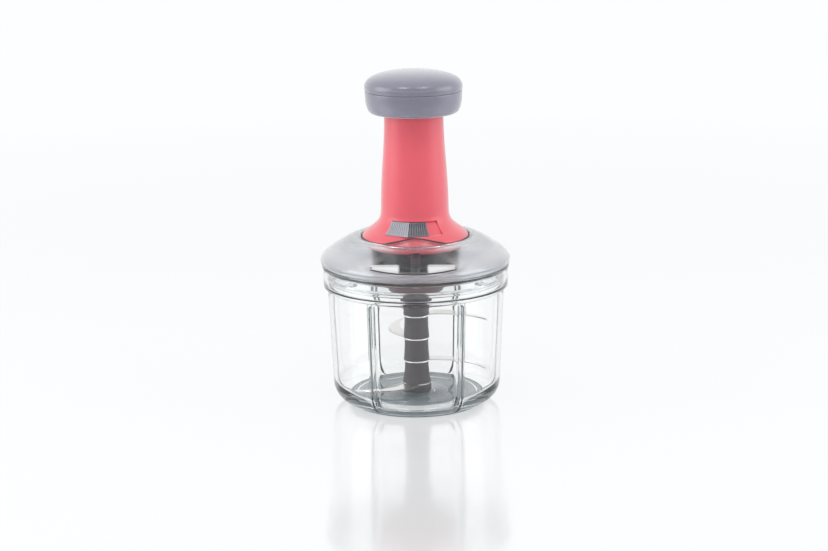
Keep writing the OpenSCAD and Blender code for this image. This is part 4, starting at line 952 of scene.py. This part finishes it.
# ---------- knob ----------
def knob_cap():
    """The knob's domed cap, with a spigot that goes into the skirt and a boss for the screw."""
    shoulder = (KNOB_R - 7, KNOB_TOP_Z - 3.9)
    outer = [(KNOB_R - 0.6, SEAM_Z), (KNOB_R - 0.25, SEAM_Z + 0.25), (KNOB_R, SEAM_Z + 1.0),
             (KNOB_R, SEAM_Z + 2.6)]
    outer += curve(outer[-1], (KNOB_R - 0.1, SEAM_Z + 6.2), (KNOB_R - 3, SEAM_Z + 8.4), shoulder, 16)[1:]
    outer += curve(shoulder, (KNOB_R - 13, KNOB_TOP_Z - 1.5), (KNOB_R - 22, KNOB_TOP_Z),
                   (0, KNOB_TOP_Z), 18)[1:]
    spigot, under = KNOB_R - KNOB_T - SPIGOT_GAP, KNOB_TOP_Z - KNOB_T
    inner = curve((0, under), (KNOB_R - 22, under), (KNOB_R - 13, under - 1.6),
                  (KNOB_R - 7.8, under - 3.6), 10)
    inner += [(KNOB_R - KNOB_T, SEAM_Z + 2.6), (spigot - SPIGOT_T, SEAM_Z + 1),
              (spigot - SPIGOT_T, SEAM_Z - SPIGOT_H), (spigot, SEAM_Z - SPIGOT_H), (spigot, SEAM_Z)]
    shell = turned(inner + outer, even_turns(160), closed=False)
    boss_top = KNOB_TOP_Z - 1.2
    boss = turned(rounded([(SCREW_BORE, BOSS_Z, 0.1), (BOSS_R, BOSS_Z, 0.3), (BOSS_R, boss_top, 0),
                           (SCREW_BORE, boss_top, 0)]), even_turns(48))
    verts, faces = joined(shell, boss)
    add_piece("knob_cover", verts, faces, "plunger", knob_plastic, ["knob_cap"], 35)


def knob_skirt():
    """The knob's lower part, up to the seam."""
    low, wall_in, floor_z = KNOB_LOW_R, KNOB_R - KNOB_T, KNOB_Z + KNOB_T
    skirt = [(KNOB_BORE, KNOB_Z + 0.3), (KNOB_BORE + 0.3, KNOB_Z)]
    skirt += curve((low, KNOB_Z), (low + 2.6, KNOB_Z), (KNOB_R - 1.4, KNOB_Z + 3.4),
                   (KNOB_R - 0.6, KNOB_Z + 8), 14)
    skirt += [(KNOB_R - 0.2, SEAM_Z - 1.1), (KNOB_R - 0.3, SEAM_Z - 0.5), (KNOB_R - 0.7, SEAM_Z - 0.15),
              (wall_in, SEAM_Z - 0.1), (wall_in - 0.1, KNOB_Z + 9)]
    skirt += curve((wall_in - 0.4, KNOB_Z + 8), (wall_in - 1, KNOB_Z + 4.4), (low + 0.8, floor_z),
                   (low - 1, floor_z), 10)
    skirt += [(KNOB_BORE + 0.3, floor_z), (KNOB_BORE, floor_z - 0.3)]
    verts, faces = turned(skirt, even_turns(160))
    add_piece("knob_lower", verts, faces, "plunger", knob_plastic, ["knob_skirt"], 35)


def spring():
    """Return spring round the plunger tube, wound closer at both ends."""
    low, high = (corner[2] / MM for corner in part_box("return_spring"))
    low, high = low + WIRE_R, high - WIRE_R
    turns, per_turn, sides, dead = CURLS + 2, 36, 12, 2.5 * WIRE_R
    verts = []
    for k in range(turns * per_turn + 1):
        t = k / per_turn
        z = low + dead + (high - low - 2 * dead) * (t - 1) / CURLS
        if t < 1:
            z = low + dead * t
        elif t > turns - 1:
            z = high - dead * (turns - t)
        for j in range(sides):
            b = 2 * math.pi * j / sides
            verts.append((*polar(COIL_R + WIRE_R * math.cos(b), 360 * t), z + WIRE_R * math.sin(b)))
    last = turns * per_turn * sides
    faces = [(k + j, k + sides + j, k + sides + (j + 1) % sides, k + (j + 1) % sides)
             for k in range(0, last, sides) for j in range(sides)]
    faces += [tuple(range(sides)), tuple(range(last + sides - 1, last - 1, -1))]
    piece = add_piece("return_coil", verts, faces, "lid", plain_steel, ["return_spring"], 60)
    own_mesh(piece)


# ---------- stage, with its lengths in metres ----------
WHITE = rgb(0.985, 0.99, 1.0)
FLOOR_HALF, FLOOR_GLOSS, FLOOR_LIT = 12.0, 0.32, 0.7
TABLE_DARK, TABLE_DARK_FROM, TABLE_DARK_TO = 0.85, -0.6, -0.25
FADE_FROM, FADE_TO = 0.5, 1.3
FRONT_DARK, TENT_LIGHT = 0.85, 0.85
CAMERA_PLACE, CAMERA_DOWN, CAMERA_ROLL = (-0.0012, -1.400, 0.4335), 13.774, 0.72
LENS, SENSOR = 88.3, 36
LAMP_AIM = (0, 0, 0.11)
LAMPS = (
    ("top_left", (-0.33, -0.53, 1.16), 0.3, 1.7),
    ("top_right", (0.33, -0.53, 1.16), 0.3, 1.5),
    ("side_left", (-1.1, -0.2, 0.5), 0.8, 4.3),
    ("side_right", (1.1, -0.2, 0.5), 0.8, 3.5),
)


def seen_rays(t):
    """1 for rays that the camera sees straight, in a reflection or through glass."""
    path = add(t, "LightPath")
    direct = math_node(t, "MAXIMUM", path.outputs["Is Camera Ray"], path.outputs["Is Glossy Ray"])
    return math_node(t, "MAXIMUM", direct, path.outputs["Is Transmission Ray"])


def white_acrylic():
    """Glossy white that fades into plain white far away. Reflections see its front end dark."""
    material, t = tree("white_acrylic_floor")
    place = object_place(t)
    tone = mix_colour(t, noise(t, place, scale=3, detail=2), rgb(0.93, 0.935, 0.94), rgb(0.92, 0.925, 0.93))
    matt = add(t, "BsdfDiffuse", {"Color": tone})
    gloss = add(t, "BsdfGlossy", {"Color": rgb(0.97, 0.975, 0.98),
                                  "Roughness": spread(t, noise(t, place, scale=6, detail=3), 0.10, 0.13)})
    seen = seen_rays(t)
    ahead = spread(t, add(t, "SeparateXYZ", {0: place}).outputs[1], TABLE_DARK, 0,
                   TABLE_DARK_FROM, TABLE_DARK_TO)
    dim = times(t, ahead, add(t, "LightPath").outputs["Is Glossy Ray"])
    white = add(t, "Emission", {"Color": WHITE, "Strength": math_node(t, "SUBTRACT", 1.0, dim)})
    body = add(t, "MixShader", {0: times(t, seen, FLOOR_LIT), 1: matt.outputs[0], 2: white.outputs[0]})
    near = add(t, "MixShader", {0: FLOOR_GLOSS, 1: body.outputs[0], 2: gloss.outputs[0]})
    distance = add(t, "VectorMath", {0: place}, operation="LENGTH").outputs["Value"]
    far = times(t, spread(t, distance, 0, 1, FADE_FROM, FADE_TO), seen)
    mixed = add(t, "MixShader", {0: far, 1: near.outputs[0], 2: white.outputs[0]})
    finish_surface(t, mixed.outputs[0])
    return material


def floor():
    """The table, which keeps the object's shadow and reflection."""
    size = FLOOR_HALF
    mesh = bpy.data.meshes.new("floor")
    corners = [(-size, -size, 0), (size, -size, 0), (size, size, 0), (-size, size, 0)]
    mesh.from_pydata(corners, [], [(0, 1, 2, 3)])
    mesh.materials.append(white_acrylic())
    plane = bpy.data.objects.new("floor", mesh)
    bpy.context.scene.collection.objects.link(plane)


def world():
    """White tent round the object, dark high in front, that gives less light than its white shows."""
    scene_world = bpy.data.worlds.new("studio")
    bpy.context.scene.world = scene_world
    scene_world.use_nodes = True
    t = scene_world.node_tree
    t.nodes.clear()
    at = add(t, "SeparateXYZ", {0: add(t, "TexCoord").outputs["Generated"]})
    front = spread(t, times(t, at.outputs[1], -1.0), 0, 1, 0.2, 0.8)
    high = spread(t, at.outputs[2], 0, 1, 0.3, 0.55)
    tent = math_node(t, "SUBTRACT", 1.0, times(t, times(t, front, high), FRONT_DARK))
    shown = spread(t, seen_rays(t), TENT_LIGHT, 1.0, 0, 1)
    light = add(t, "Background", {"Color": WHITE, "Strength": times(t, tent, shown)})
    add(t, "OutputWorld", {"Surface": light.outputs[0]})


def lamp(name, place, size, power):
    """A square lamp aimed at the object's middle."""
    data = bpy.data.lights.new(name, "AREA")
    data.shape, data.size, data.energy = "SQUARE", size, power
    item = bpy.data.objects.new(name, data)
    item.location = place
    item.rotation_euler = (Vector(LAMP_AIM) - Vector(place)).to_track_quat("-Z", "Y").to_euler()
    bpy.context.scene.collection.objects.link(item)


def camera():
    """The photo's camera, looking down at the front with a slight roll."""
    data = bpy.data.cameras.new("camera")
    data.lens, data.sensor_width, data.clip_start, data.clip_end = LENS, SENSOR, 0.05, 60
    item = bpy.data.objects.new("camera", data)
    item.location = CAMERA_PLACE
    item.rotation_mode = "XYZ"
    tilt = Matrix.Rotation(math.radians(90 - CAMERA_DOWN), 4, "X")
    roll = Matrix.Rotation(math.radians(-CAMERA_ROLL), 4, "Z")
    item.rotation_euler = (tilt @ roll).to_euler()
    bpy.context.scene.collection.objects.link(item)
    bpy.context.scene.camera = item


camera()
dress_cad_nodes()
bowl()
pad()
hub()
for number in range(len(BLADE_Z)):
    blade(number)
dome()
lid_plate()
drive_cup()
gasket()
housing()
slider()
knob_cap()
knob_skirt()
spring()
floor()
world()
for row in LAMPS:
    lamp(*row)
bpy.context.scene.view_settings.view_transform = "Standard"
